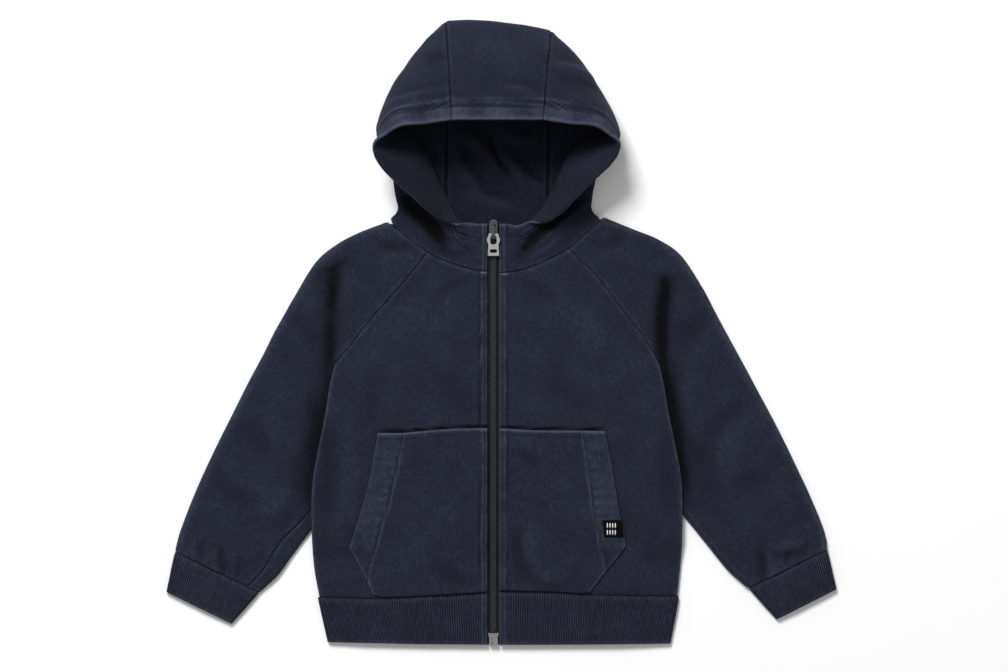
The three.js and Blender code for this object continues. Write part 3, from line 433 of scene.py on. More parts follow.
def puckers(d, along, reach=6.0, pitch=7.0, seed=0.0):
    """Small waves beside a seam, fading away from it."""
    phase = 1.3 * np.sin(along / 19 + seed) + 0.8 * np.sin(along / 7.7 + 2 * seed)
    strength = 0.6 + 0.4 * np.sin(along / 31 + 3 * seed)
    return np.exp(-np.maximum(d, 0) / reach) * strength * np.sin(2 * math.pi * along / pitch + phase)


CREASE_GAIN = 1.5
CREASE_SHOULDER = {"at": 1.9, "width": 1.5, "share": 0.4}  # of a crease's half width and height
CREASE_OVERRUN = 0.2  # past its ends, as a share of its length
CREASE_FADE = 0.45  # of its length, at each end


def creases(x, y, table):
    """Soft ridges and troughs along bowed lines over the plan."""
    height = np.zeros(np.broadcast(x, y).shape)
    shoulder = CREASE_SHOULDER
    for x1, y1, x2, y2, bow, width, depth in table:
        length = math.hypot(x2 - x1, y2 - y1)
        along = ((x - x1) * (x2 - x1) + (y - y1) * (y2 - y1)) / length**2
        side = ((x1 - x) * (y2 - y1) + (y - y1) * (x2 - x1)) / length - 4 * bow * along * (1 - along)
        ends = (smooth((along + CREASE_OVERRUN) / CREASE_FADE)
                * smooth((1 + CREASE_OVERRUN - along) / CREASE_FADE))
        profile = (hump(side, 0, width)
                   - shoulder["share"] * hump(side, shoulder["at"] * width, shoulder["width"] * width))
        height += CREASE_GAIN * depth * ends * profile
    return height


CREASE_SHADE_GAIN = 0.12  # painted shade in troughs and painted highlight on ridges, for each millimetre of crease height
CREASE_SHADE_LIMITS = (-3.5, 0.5)
SEAM_RELIEF = [(0, 0.9, -0.42), (3.2, 2.0, 0.3)]
SEAM_RUB = [(2.0, 1.3, 0.17)]
SEAM_LINE = [(0, 0.6, -0.16)]


# Painted shade in crease troughs and painted highlight on crease ridges.
def crease_shade_and_highlight(height):
    return CREASE_SHADE_GAIN * np.clip(height, *CREASE_SHADE_LIMITS)


def seam_dip(d, along, seed, pucker=0.2):
    """How the cloth sinks into a seam, with its allowance raised beside it."""
    return bands(d, SEAM_RELIEF) + pucker * puckers(d, along, seed=seed) * smooth(d / 1.5)


def seam_wear(d, along, seed):
    patchy = 0.65 + 0.35 * np.sin(along / 11 + seed) * np.sin(along / 4.3 + 2 * seed)
    return bands(d, SEAM_RUB) * patchy + bands(d, SEAM_LINE)


PLACKET_BAND = {"before_stitch": 1.2, "fade": 1.4, "groove_width": 0.8}


def placket(from_zip):
    """Shares of the band that stands up beside the zip, and of the groove that its stitches pull."""
    band = 1 - smooth((from_zip - PLACKET_STITCH + PLACKET_BAND["before_stitch"]) / PLACKET_BAND["fade"])
    return band, hump(from_zip, PLACKET_STITCH, PLACKET_BAND["groove_width"])


def edge_out(side, y):
    return np.where(y > SIDE_EDGE[side][0][1], look_up(YOKE_FOLD[side], y, 1, 0),
                    look_up(SIDE_EDGE[side], y, 1, 0))


# Where the body lies over the tucked sleeve: from above the armpit to near the hem, and how far in
TUCK = {"above_armpit": 26, "top_fade": 34, "foot_y": -218, "foot_fade": 28, "in": 28, "in_fade": 24}
LOFT_FROM = 4
LOFT_WIDTH = 60


def lift_on_side(side, x, y):
    inside = edge_out(side, y) - MIRROR[side] * x
    along = (smooth((SIDE_EDGE[side][0][1] + TUCK["above_armpit"] - y) / TUCK["top_fade"])
             * smooth((y - TUCK["foot_y"]) / TUCK["foot_fade"]))
    return TUCK_LIFT * along * (1 - smooth((inside - TUCK["in"]) / TUCK["in_fade"]))


def front_z_on_side(side, x, y):
    inside = edge_out(side, y) - MIRROR[side] * x
    loft = FRONT_LOFT * smooth((inside - LOFT_FROM) / LOFT_WIDTH)
    return lift_on_side(side, x, y) + FRONT_RISE + loft


def zip_z(y):
    return FRONT_RISE + FRONT_LOFT + STAND_SLOPE * np.maximum(0, y - NECK_ZIP_Y)


def patch(top, bottom, left, right, u, v):
    """The plan inside four borders, each an array of points: top and bottom along u, the others along v."""
    u = u[None, :, None]
    v = v[:, None, None]
    corners = mix(mix(top[0], top[-1], u), mix(bottom[0], bottom[-1], u), v)
    return mix(top[None], bottom[None], v) + mix(left[:, None], right[:, None], u) - corners


# Meshes

def mesh_object(name, points, faces, values=None):
    """An object from points in millimetres, faces of four and named values at the points."""
    mesh = bpy.data.meshes.new(name)
    faces = np.asarray(faces, np.int32)
    mesh.vertices.add(len(points))
    mesh.vertices.foreach_set("co", np.ascontiguousarray(points * MM, np.float32).ravel())
    mesh.loops.add(faces.size)
    mesh.loops.foreach_set("vertex_index", faces.ravel())
    mesh.polygons.add(len(faces))
    mesh.polygons.foreach_set("loop_start", np.arange(0, faces.size, faces.shape[1], dtype=np.int32))
    mesh.polygons.foreach_set("use_smooth", np.ones(len(faces), bool))
    for key, value in (values or {}).items():
        attribute = mesh.attributes.new(key, "FLOAT", "POINT")
        attribute.data.foreach_set("value", np.ascontiguousarray(value, np.float32).ravel())
    mesh.update(calc_edges=True)
    mesh.validate()
    obj = bpy.data.objects.new(name, mesh)
    bpy.context.collection.objects.link(obj)
    return obj


def dress(obj, body, slot, material, *nodes):
    """Puts a material on a piece, lets it ride a body and stand for CAD nodes."""
    obj.data.materials.clear()
    obj.data.materials.append(material)
    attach(obj, body)
    if nodes:
        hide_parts(*nodes)


def normals_of(grid, closed=False, first_up=True):
    if closed:
        across = np.roll(grid, -1, axis=1) - np.roll(grid, 1, axis=1)
    else:
        across = np.gradient(grid, axis=1)
    down = np.gradient(grid, axis=0)
    normals = np.cross(across, down)
    normals /= np.maximum(np.linalg.norm(normals, axis=2, keepdims=True), 1e-9)
    return normals if (normals[0, 0, 2] > 0) == first_up else -normals


def reach(grid, axis):
    """Distances along a grid's rows or columns from its start and to its end."""
    steps = np.linalg.norm(np.diff(grid, axis=axis), axis=2)
    start = np.insert(np.cumsum(steps, axis=axis), 0, 0.0, axis=axis)
    return start, start.take([-1], axis=axis) - start


class Shell:
    """A cloth wall on both sides of a grid, rounded at its open edges."""

    def __init__(self, name, grid, thickness, middle=0.0, outer=0.0, inner=0.0, wear_and_shade=0.0, under_wear_and_shade=0.0,
                 closed=False, first_up=True):
        """Middle moves the whole wall, outer and inner only one face; the wear values are the tone of each
        face: rubbed wear, with painted shade and painted highlight.
        """
        rows, cols = grid.shape[:2]
        normals = normals_of(grid, closed, first_up)
        grid = grid + normals * np.broadcast_to(middle, (rows, cols))[..., None]
        normals = normals_of(grid, closed, first_up)
        if closed:
            ring = np.concatenate((grid, grid[:, :1]), axis=1)
            west = east = np.full((rows, cols), np.inf)
        else:
            ring = grid
            west, east = reach(grid, 1)
        north, south = reach(ring, 0)
        north, south = north[:, :cols], south[:, :cols]
        border = np.minimum(np.minimum(west, east), np.minimum(north, south))
        rounding = thickness * EDGE_ROUNDING
        half = thickness / 2 * np.sqrt(1 - (1 - np.minimum(border / rounding, 1)) ** 2)
        fade = smooth(border / rounding)
        self.outer = grid + normals * (half + outer * mix(1.0, fade, 0.5))[..., None]
        under = grid - normals * (half + inner * fade)[..., None]
        self.outer[..., 2] = np.maximum(self.outer[..., 2], 0)
        under[..., 2] = np.maximum(under[..., 2], 0)
        self.normals = normals
        top = np.arange(rows * cols).reshape(rows, cols)
        edge = border <= 0
        below = top.copy()
        below[~edge] = rows * cols + np.arange(np.count_nonzero(~edge))
        points = np.concatenate((self.outer.reshape(-1, 3), under[~edge]))
        worn_and_shaded = np.broadcast_to(wear_and_shade, (rows, cols))
        under_worn_and_shaded = np.broadcast_to(under_wear_and_shade, (rows, cols))
        values = {"wear_and_shade": np.concatenate((worn_and_shaded.ravel(), under_worn_and_shaded[~edge]))}
        i = np.arange(cols if closed else cols - 1)
        j = np.arange(rows - 1)[:, None]
        right = (i + 1) % cols

        def quads(index):
            return np.stack((index[j, i], index[j, right], index[j + 1, right], index[j + 1, i]), axis=-1)

        faces = np.concatenate((quads(top).reshape(-1, 4), quads(below)[..., ::-1].reshape(-1, 4)))
        a, b, c = points[faces[:, 0]], points[faces[:, 1]], points[faces[:, 2]]
        d = points[faces[:, 3]]
        volume = (a * np.cross(b, c)).sum() + (a * np.cross(c, d)).sum()
        if volume < 0:
            faces = faces[:, ::-1]
        self.object = mesh_object(name, points, faces, values)
        self.faces = quads(top).reshape(-1, 4)

    def tree(self):
        return BVHTree.FromPolygons(self.outer.reshape(-1, 3).tolist(), self.faces.tolist())


def bars(name, lines, ups, radii, sides=6):
    """Many short round bars in one mesh: lines has a row of stations for each bar."""
    lines = np.asarray(lines, float)
    count, stations = lines.shape[:2]
    tangent = np.gradient(lines, axis=1)
    tangent /= np.maximum(np.linalg.norm(tangent, axis=2, keepdims=True), 1e-9)
    up = np.broadcast_to(np.asarray(ups, float)[:, None], lines.shape)
    across = np.cross(tangent, up)
    across /= np.maximum(np.linalg.norm(across, axis=2, keepdims=True), 1e-9)
    rise = np.cross(across, tangent)
    angle = np.arange(sides) * 2 * math.pi / sides
    ring = (across[:, :, None] * np.cos(angle)[:, None] + rise[:, :, None] * np.sin(angle)[:, None])
    points = lines[:, :, None] + ring * np.asarray(radii, float)[None, :, None, None]
    index = np.arange(count * stations * sides).reshape(count, stations, sides)
    turned = np.roll(index, -1, axis=2)
    faces = np.stack((index[:, :-1], turned[:, :-1], turned[:, 1:], index[:, 1:]), axis=-1).reshape(-1, 4)
    ends = []
    half = sides // 2
    for station, order in ((0, -1), (stations - 1, 1)):
        loop = index[:, station, ::order]
        for k in range(1, half):
            ends.append(np.stack((loop[:, k - 1], loop[:, k], loop[:, sides - 1 - k],
                                  loop[:, (sides - k) % sides]), axis=-1))
    faces = np.concatenate([faces] + ends)
    return mesh_object(name, points.reshape(-1, 3), faces)


ABOVE_ALL = 200.0
DOWN = Vector((0, 0, -1))


def drop(points, trees):
    """Places on the uppermost of several pieces above points in the plan, with their normals."""
    found, normals = [], []
    for x, y in points:
        best = None
        for tree in trees:
            hit, normal, _, _ = tree.ray_cast(Vector((x, y, ABOVE_ALL)), DOWN)
            if hit is not None and (best is None or hit.z > best[0].z):
                best = (hit, normal if normal.z > 0 else -normal)
        if best:
            found.append(tuple(best[0]))
            normals.append(tuple(best[1]))
    return np.array(found), np.array(normals)


STITCH = {"length": 2.5, "pitch": 3.1, "radius": 0.26, "rise": 0.1}
# Shape of one stitch. Columns: shares of its length, rise and radius.
STITCH_SHAPE = np.array([(0.0, -0.25, 0.6), (0.25, 1.0, 1.0), (0.75, 1.0, 1.0), (1.0, -0.25, 0.6)])
stitch_lines = []
stitch_ups = []


def sew(path, normals, pitch=STITCH["pitch"], length=STITCH["length"]):
    """Adds a line of stitches over a dense path on a surface."""
    if len(path) < 3:
        return
    steps = np.linalg.norm(np.diff(path, axis=0), axis=1)
    at = np.concatenate(([0.0], np.cumsum(steps)))
    starts = np.arange(0.3, at[-1] - length, pitch)
    shares, rises, _ = STITCH_SHAPE.T
    places = starts[:, None] + shares * length
    lines = np.stack([np.interp(places, at, path[:, k]) for k in range(3)], axis=-1)
    ups = np.stack([np.interp(starts + length / 2, at, normals[:, k]) for k in range(3)], axis=-1)
    lines += ups[:, None] * (rises * STITCH["rise"])[None, :, None]
    stitch_lines.append(lines)
    stitch_ups.append(ups)


def dense(rows, spacing=0.8):
    """A smooth plan curve through a short table, as close points."""
    rows = np.asarray(rows, float)
    length = np.linalg.norm(np.diff(rows, axis=0), axis=1).sum()
    return curve_through(rows)(np.linspace(0, 1, max(3, int(length / spacing))))


# Materials

def add(tree, kind, values=None, **settings):
    node = tree.nodes.new(kind)
    for key, value in settings.items():
        setattr(node, key, value)
    for key, value in (values or {}).items():
        if isinstance(value, bpy.types.NodeSocket):
            tree.links.new(value, node.inputs[key])
        else:
            node.inputs[key].default_value = value
    return node


def new_material(name, **shader):
    material = bpy.data.materials.new(name)
    material.use_nodes = True
    tree = material.node_tree
    principled = tree.nodes["Principled BSDF"]
    for key, value in shader.items():
        principled.inputs[key.replace("_", " ")].default_value = value
    return material, tree, principled


def maths(tree, operation, a, b):
    return add(tree, "ShaderNodeMath", {0: a, 1: b}, operation=operation).outputs[0]


def noise(tree, coords, scale, detail=3.0, stretch=(1, 1, 1)):
    mapping = add(tree, "ShaderNodeMapping", {"Vector": coords, "Scale": stretch})
    return add(tree, "ShaderNodeTexNoise",
               {"Vector": mapping.outputs[0], "Scale": scale, "Detail": detail}).outputs["Fac"]


def ramp(tree, factor, stops):
    node = add(tree, "ShaderNodeValToRGB", {"Fac": factor})
    elements = node.color_ramp.elements
    while len(elements) < len(stops):
        elements.new(0.5)
    for element, (place, colour) in zip(elements, stops):
        element.position = place
        element.color = (*colour, 1)
    return node.outputs["Color"]


DEEP = (0.0012, 0.0014, 0.0026)  # where no light reaches the cloth
DEEP_SHARE = 0.2
MIDDLE_TONE = 0.33
PATCH_GAIN_FLOOR = 0.25  # of the wear and painted shade, where the patches rub least
DYE = {"cloud": 0.24, "patch": 0.14, "fleck": 0.48, "fibre": 0.24}  # strength of each unevenness of tone
SHEEN = {"Sheen_Roughness": 0.45, "Sheen_Weight": 0.08, "Sheen_Tint": (0.62, 0.68, 0.85, 1)}


def washed_cloth(name, tones, wear_and_shade_gain, grain, stretch):
    """Garment-dyed cotton: cloudy, finely flecked and paler where the edges have rubbed, with painted shade
    and painted highlight taken from the same values.
    """
    material, tree, shader = new_material(name, Roughness=0.95, Specular_IOR_Level=0.12, **SHEEN)
    coords = add(tree, "ShaderNodeTexCoord").outputs["Object"]
    wear_and_shade = add(tree, "ShaderNodeAttribute", attribute_name="wear_and_shade").outputs["Fac"]
    uneven = {"cloud": noise(tree, coords, 38, 4), "patch": noise(tree, coords, 170, 3),
              "fleck": noise(tree, coords, 620, 2, stretch), "fibre": noise(tree, coords, 1900, 2, stretch)}
    patchy_wear_and_shade = add(tree, "ShaderNodeMath", {0: uneven["patch"], 1: wear_and_shade_gain, 2: PATCH_GAIN_FLOOR * wear_and_shade_gain},
                  operation="MULTIPLY_ADD").outputs[0]
    tone = maths(tree, "ADD", maths(tree, "MULTIPLY", wear_and_shade, patchy_wear_and_shade), MIDDLE_TONE)
    for key, amount in DYE.items():
        centred = maths(tree, "SUBTRACT", uneven[key], 0.5)
        tone = maths(tree, "ADD", tone, maths(tree, "MULTIPLY", centred, amount))
    tone = maths(tree, "ADD", maths(tree, "MULTIPLY", tone, 1 - DEEP_SHARE), DEEP_SHARE)
    middle_at = mix(DEEP_SHARE, 1, MIDDLE_TONE)
    colour = ramp(tree, tone, [(0.0, DEEP), (DEEP_SHARE, tones["dark"]), (middle_at, tones["middle"]),
                               (1.0, tones["light"])])
    tree.links.new(colour, shader.inputs["Base Color"])
    height = maths(tree, "ADD", maths(tree, "MULTIPLY", uneven["fleck"], 0.7),
                   maths(tree, "MULTIPLY", uneven["fibre"], 0.5))
    bump = add(tree, "ShaderNodeBump", {"Height": height, "Strength": grain, "Distance": 0.0005})
    tree.links.new(bump.outputs[0], shader.inputs["Normal"])
    return material


def two_tone(name, roughness, specular, scale, detail, low, high):
    """A plain surface between two near tones, each with its place on the noise and its colour."""
    material, tree, shader = new_material(name, Roughness=roughness, Specular_IOR_Level=specular)
    coords = add(tree, "ShaderNodeTexCoord").outputs["Object"]
    tree.links.new(ramp(tree, noise(tree, coords, scale, detail), [low, high]), shader.inputs["Base Color"])
    return material


def woven_material(name, low, high, pitch, turn, roughness):
    """Fine diagonal weave in two near tones."""
    material, tree, shader = new_material(name, Roughness=roughness, Specular_IOR_Level=0.08)
    coords = add(tree, "ShaderNodeTexCoord").outputs["Object"]
    mapping = add(tree, "ShaderNodeMapping", {"Vector": coords, "Rotation": (0, 0, turn)})
    wave = add(tree, "ShaderNodeTexWave",
               {"Vector": mapping.outputs[0], "Scale": 0.3 / pitch, "Distortion": 0.6, "Detail": 1.0})
    blend = maths(tree, "ADD", maths(tree, "MULTIPLY", wave.outputs["Fac"], 0.6),
                  maths(tree, "MULTIPLY", noise(tree, coords, 1500, 2), 0.4))
    tree.links.new(ramp(tree, blend, [(0.2, low), (0.8, high)]), shader.inputs["Base Color"])
    bump = add(tree, "ShaderNodeBump", {"Height": blend, "Strength": 0.35, "Distance": 0.0003})
    tree.links.new(bump.outputs[0], shader.inputs["Normal"])
    return material


def metal_material(name, low, high, roughness):
    """Plated metal with faint cloudiness and small scuffs."""
    material, tree, shader = new_material(name, Metallic=1.0)
    coords = add(tree, "ShaderNodeTexCoord").outputs["Object"]
    cloud = noise(tree, coords, 420, 4)
    scuff = noise(tree, coords, 2600, 2, (1, 0.2, 1))
    tree.links.new(ramp(tree, cloud, [(0.3, low), (0.7, high)]), shader.inputs["Base Color"])
    rough = add(tree, "ShaderNodeMapRange",
                {"Value": scuff, "To Min": roughness * 0.7, "To Max": roughness * 1.5}).outputs[0]
    tree.links.new(rough, shader.inputs["Roughness"])
    bump = add(tree, "ShaderNodeBump", {"Height": scuff, "Strength": 0.08, "Distance": 0.0001})
    tree.links.new(bump.outputs[0], shader.inputs["Normal"])
    return material


NAVY = {"dark": (0.0045, 0.0052, 0.0105), "middle": (0.0125, 0.0146, 0.0275), "light": (0.052, 0.058, 0.09)}
GREY = {"dark": (0.05, 0.055, 0.07), "middle": (0.13, 0.14, 0.17), "light": (0.2, 0.21, 0.24)}

fleece = washed_cloth("washed_fleece", NAVY, 1.5, 0.35, (1, 0.55, 1))
rib = washed_cloth("washed_rib", NAVY, 1.3, 0.25, (1, 0.3, 1))
tack_thread = washed_cloth("tack_thread", GREY, 0.0, 0.2, (1, 1, 1))
thread = two_tone("thread", 0.7, 0.25, 260, 2, (0.3, (0.012, 0.014, 0.026)), (0.75, (0.045, 0.05, 0.078)))
pale_thread = two_tone("pale_thread", 0.6, 0.3, 900, 2, (0.3, (0.55, 0.55, 0.53)), (0.7, (0.82, 0.82, 0.8)))
coil_plastic = two_tone("coil_plastic", 0.6, 0.45, 140, 3, (0.3, (0.021, 0.0245, 0.029)),
                        (0.75, (0.032, 0.037, 0.044)))
white_floor = two_tone("floor_white", 0.9, 0.1, 3, 2, (0.2, (0.9, 0.9, 0.9)), (0.8, (0.92, 0.92, 0.92)))
tape_weave = woven_material("tape_weave", (0.006, 0.007, 0.0075), (0.017, 0.019, 0.02), 0.0009, 0.6, 0.8)
label_twill = woven_material("label_twill", (0.0008, 0.0008, 0.001), (0.003, 0.003, 0.0033),
                             0.0008, 0.78, 0.95)
gunmetal = metal_material("gunmetal", (0.10, 0.11, 0.11), (0.2, 0.21, 0.21), 0.3)
silver = metal_material("silver", (0.66, 0.66, 0.65), (0.86, 0.86, 0.85), 0.3)
box_plate = metal_material("box_plate", (0.2, 0.2, 0.2), (0.42, 0.42, 0.41), 0.42)


# Body

BODY_WAVES = [(0.35, 75, 3), (0.12, 24, 8)]
PLACKET_RUB = [(PLACKET_STITCH - 1.7, 1.1, 0.3), (0.6, 0.9, 0.3)]
PLACKET_LINE = [(PLACKET_STITCH + 0.1, 0.55, -0.42)]


def body_relief(side, x, y):
    """Creases and seams that the front and the pocket on it share."""
    m = MIRROR[side]
    from_zip = m * (x - ZIP_X) - ZIP_HALF_STRIP
    from_hem = y - look_up(HEM_SEAM, x)
    band, groove = placket(from_zip)
    quilted = puckers(from_zip - PLACKET_STITCH, y, 5, 6.5, 1.0 + m) * smooth(from_zip / 2)
    gathered = puckers(from_hem, x, 8, 11, 2.0 + m) * smooth(from_hem / 2)
    return (0.3 * band - 0.55 * groove + 0.24 * quilted + 0.5 * gathered - 0.5 * hump(from_hem, 0, 1.4)
            + creases(x, y, BODY_CREASES) + waves(x, y, BODY_WAVES, m))


# Wear along the placket, with painted shade in the crease troughs and painted highlight on the crease ridges.
def body_wear_and_shade(side, x, y):
    from_zip = MIRROR[side] * (x - ZIP_X) - ZIP_HALF_STRIP
    patchy = 0.7 + 0.3 * np.sin(y / 5.3 + 1.7 * np.sin(y / 23))
    return (bands(from_zip, PLACKET_RUB) * patchy + bands(from_zip, PLACKET_LINE)
            + crease_shade_and_highlight(creases(x, y, BODY_CREASES)))


def outer_border(side, column, v, split):
    last = len(YOKE_ROWS[side]) - 1
    rows = np.asarray(YOKE_ROWS[side], float)[:, column:column + 2]
    yoke = between_rows(rows, np.minimum(last * v / split, last))
    edge = curve_through(SIDE_EDGE[side])((v - split) / (1 - split))
    point = np.where((v < split)[:, None], yoke, edge)
    return np.stack((MIRROR[side] * (point[:, 0] - 2 * SEAM), point[:, 1] - SEAM), axis=1)


YOKE_SHARE = 0.4  # of the rows of a body panel
YOKE_BELOW_ARMPIT = 15
FRONT_SEAM_COLUMN = 0  # of YOKE_ROWS
BACK_SEAM_COLUMN = 4


def front_plan(side, u, v):
    m = MIRROR[side]
    zip_edge = ZIP_X + m * ZIP_HALF_STRIP
    outer = outer_border(side, FRONT_SEAM_COLUMN, v, YOKE_SHARE)
    armpit_y = SIDE_EDGE[side][0][1] - YOKE_BELOW_ARMPIT
    neck_y = NECK_SEAM[side][0][1] - SEAM
    hem_y = look_up(HEM_SEAM, zip_edge) + SEAM
    zip_y = np.where(v < YOKE_SHARE, mix(neck_y, armpit_y, v / YOKE_SHARE),
                     mix(armpit_y, hem_y, (v - YOKE_SHARE) / (1 - YOKE_SHARE)))
    zip_line = np.stack((np.full_like(v, zip_edge), zip_y), axis=1)
    neck = curve_through(NECK_SEAM[side])(u) * (m, 1) - (0, SEAM)
    top = mix(neck, outer[0], smooth((u - 0.9) / 0.1)[:, None])
    top[0] = zip_line[0]
    x = mix(zip_edge, outer[-1, 0], u)
    bottom = np.stack((x, look_up(HEM_SEAM, x) + SEAM), axis=1)
    outer[-1] = bottom[-1]
    return patch(top, bottom, zip_line, outer, u, v)


SIDE_ROLL = {"width": 4.5, "drop": 1.32}  # how the body's front and back turn towards each other
SIDE_RUB = [(0.5, 1.6, 0.3)]
BELOW_ARMPIT = {"from": 6, "fade": 12}  # how far above the armpit the side starts
# Length and pitch of a panel's steps, first across and then down
FRONT_STEPS = ((165, 2.3), (330, 2.5))
BACK_STEPS = ((330, 3.4), (340, 3.2))
POCKET_SHADE = {"at": 1.3, "width": 1.0, "tone": 0.9}  # dark line above the pocket's top edge


def below_armpit(side, y):
    return smooth((SIDE_EDGE[side][0][1] + BELOW_ARMPIT["from"] - y) / BELOW_ARMPIT["fade"])


def side_roll(from_edge, below):
    return SIDE_ROLL["drop"] * np.clip(1 - from_edge / SIDE_ROLL["width"], 0, 1) ** 2 * below


def pocket_shade(side, x, y):
    top = POCKET[side]["top"]
    out = MIRROR[side] * x
    over_pocket = smooth((top[0][0] + 1 - out) / 2)
    line = hump(y - look_up(top, out), POCKET_SHADE["at"], POCKET_SHADE["width"])
    return POCKET_SHADE["tone"] * over_pocket * line


def front(side):
    plan = front_plan(side, *(spread(*steps) for steps in FRONT_STEPS))
    x, y = plan[..., 0], plan[..., 1]
    grid = np.dstack((x, y, front_z_on_side(side, x, y)))
    _, from_outer = reach(grid, 1)
    from_neck, _ = reach(grid, 0)
    below = below_armpit(side, y)
    grid[..., 2] -= side_roll(from_outer, below)
    raglan = 1 - below
    relief = body_relief(side, x, y) * (1 - below * hump(from_outer, 0, 3))
    relief += seam_dip(from_outer, y, 2.2) * raglan + seam_dip(from_neck, x, 0.7)
    # Wear, with painted shade and highlight along the creases and a painted shadow above the pocket.
    wear_and_shade = (body_wear_and_shade(side, x, y) + seam_wear(from_outer, y, 1.1) * raglan + seam_wear(from_neck, x, 0.4)
            + bands(from_outer, SIDE_RUB) * below - pocket_shade(side, x, y))
    shell = Shell(f"cloth_front_{side}", grid, FLEECE, middle=relief, wear_and_shade=wear_and_shade)
    dress(shell.object, "garment", "fleece", fleece, f"front_{side}")
    return shell


def back():
    u, v = (spread(*steps) for steps in BACK_STEPS)
    left, right = (outer_border(side, BACK_SEAM_COLUMN, v, YOKE_SHARE) for side in SIDES)
    dip = (left[0, 1] - BACK_NECK_Y) * np.sin(math.pi * u)
    top = mix(left[0], right[0], u[:, None]) - np.outer(dip, (0, 1))
    bottom = mix(left[-1], right[-1], u[:, None])
    plan = patch(top, bottom, left, right, u, v)
    x, y = plan[..., 0], plan[..., 1]
    lift = np.where(x < ZIP_X, lift_on_side("left", x, y), lift_on_side("right", x, y))
    grid = np.dstack((x, y, lift + BACK_Z))
    from_left, from_right = reach(grid, 1)
    from_neck, _ = reach(grid, 0)
    from_side = np.minimum(from_left, from_right)
    grid[..., 2] += side_roll(from_side, below_armpit("left", y))
    wear_and_shade = seam_wear(from_side, y, 0.6) + seam_wear(from_neck, x, 0.9)
    shell = Shell("cloth_back", grid, FLEECE, wear_and_shade=wear_and_shade)
    dress(shell.object, "garment", "fleece", fleece, "back_panel")
    return shell


# Sleeves

SLEEVE_COUNTS = {"fold": 12, "under": 26, "turn": 8, "wrap": 6, "yoke": 49, "arm": 91}
SLEEVE_MIDDLE_COLUMN = 40  # its length sets how many rows a sleeve has
SLEEVE_WAVES = [(0.4, 60, 11), (0.14, 22, 17)]
VALLEY_RELIEF = [(1, 6, 1.3)]
# Painted highlight along the sleeve's outer fold.
OUTER_FOLD_HIGHLIGHT = [(0, 4.5, 0.2)]
VALLEY_FADE = {"top": 16, "end": 60}


def sleeve_section(side, s):
    """One section: from the front seam round the outer fold, back under and round the inner fold."""
    m = MIRROR[side]
    front_seam, outer, inner = (np.asarray(s[key], float) for key in ("front", "outer", "inner"))
    radius, turn, wrap = s["radius"], s["turn"], s["wrap"]
    along = outer - (front_seam + inner) / 2
    along /= np.linalg.norm(along)
    centre = outer - along * FOLD_RADIUS
    t = spread(90, 2.2)[:-1, None]
    front_line = mix(front_seam, centre, t)
    parts = [np.column_stack((front_line, s["front_height"](front_line, t[:, 0])))]
    angle = math.pi * (0.5 - np.linspace(0, 1, SLEEVE_COUNTS["fold"] + 1))
    parts.append(np.column_stack((centre + along * (FOLD_RADIUS * np.cos(angle))[:, None],
                                  BACK_Z + FOLD_RADIUS * (1 + np.sin(angle)))))
    inward = inner - centre
    inward /= np.linalg.norm(inward)
    turn_length = math.pi * radius
    start = inner - inward * radius if turn else inner - inward * (turn_length + wrap)
    t = np.linspace(0, 1, SLEEVE_COUNTS["under"] + 1)[1:, None]
    under_line = mix(centre, start, t)
    parts.append(np.column_stack((under_line, s["under_height"](under_line))))
    t = np.linspace(0, 1, SLEEVE_COUNTS["turn"] + 1)[1:]
    sideways = radius * np.sin(math.pi * t) if turn else turn_length * t
    rise = radius * (1 - np.cos(math.pi * t)) if turn else 0 * t
    line = start + inward * sideways[:, None]
    parts.append(np.column_stack((line, s["under_height"](line) + rise)))
    t = np.linspace(0, 1, SLEEVE_COUNTS["wrap"] + 1)[1:]
    last = parts[-1][-1]
    line = last[:2] + inward * ((-1 if turn else 1) * max(0.5, wrap) * t)[:, None]
    parts.append(np.column_stack((line, np.full(len(t), last[2]))))
    points = np.concatenate(parts)
    points[:, 0] *= m
    return points


def yoke_section(side, row):
    m = MIRROR[side]

    def front_height(p, t):
        inside = edge_out(side, p[:, 1]) - p[:, 0]
        free = FRONT_RISE + SLEEVE_LOFT * np.sin(math.pi * t)
        return mix(free, front_z_on_side(side, m * p[:, 0], p[:, 1]), smooth((inside + 5) / 6))

    def under_height(p):
        inside = edge_out(side, p[:, 1]) - p[:, 0]
        return BACK_Z + lift_on_side(side, m * p[:, 0], p[:, 1]) * smooth((inside + 5) / 6)

    return sleeve_section(side, {
        "front": (row[0] + 2 * SEAM, row[1] + SEAM), "outer": (row[2], row[3] - SEAM),
        "inner": (row[4] + 2 * SEAM, row[5] + SEAM), "turn": False, "wrap": 0.5, "radius": FOLD_RADIUS,
        "front_height": front_height, "under_height": under_height})


def arm_section(side, place):
    row = ARM_ROWS[side][place]
    outer, inner = np.array(row[:2]), np.array(row[2:4])
    wrap = row[4]
    free_share = float(smooth((place - 4) / 2))
    radius = mix(TUCK_RADIUS, FOLD_RADIUS, free_share)
    away = (outer - inner) / np.linalg.norm(outer - inner)
    seam_at = 2 * SEAM if place == 0 else radius + max(0.5, wrap) + 2 * SEAM

    def front_height(p, t):
        outside = p[:, 0] - edge_out(side, p[:, 1])
        pressed = BACK_Z + 2 * TUCK_RADIUS
        free = BACK_Z + 2 * FOLD_RADIUS + SLEEVE_LOFT * np.sin(math.pi * t)
        share = np.maximum(smooth((outside - 2) / 14), free_share * smooth((outside + 1) / 3))
        return mix(pressed, free, share)

    return sleeve_section(side, {
        "front": inner + away * seam_at, "outer": outer, "inner": inner, "turn": place > 0, "wrap": wrap,
        "radius": radius, "front_height": front_height, "under_height": lambda p: np.full(len(p), BACK_Z)})


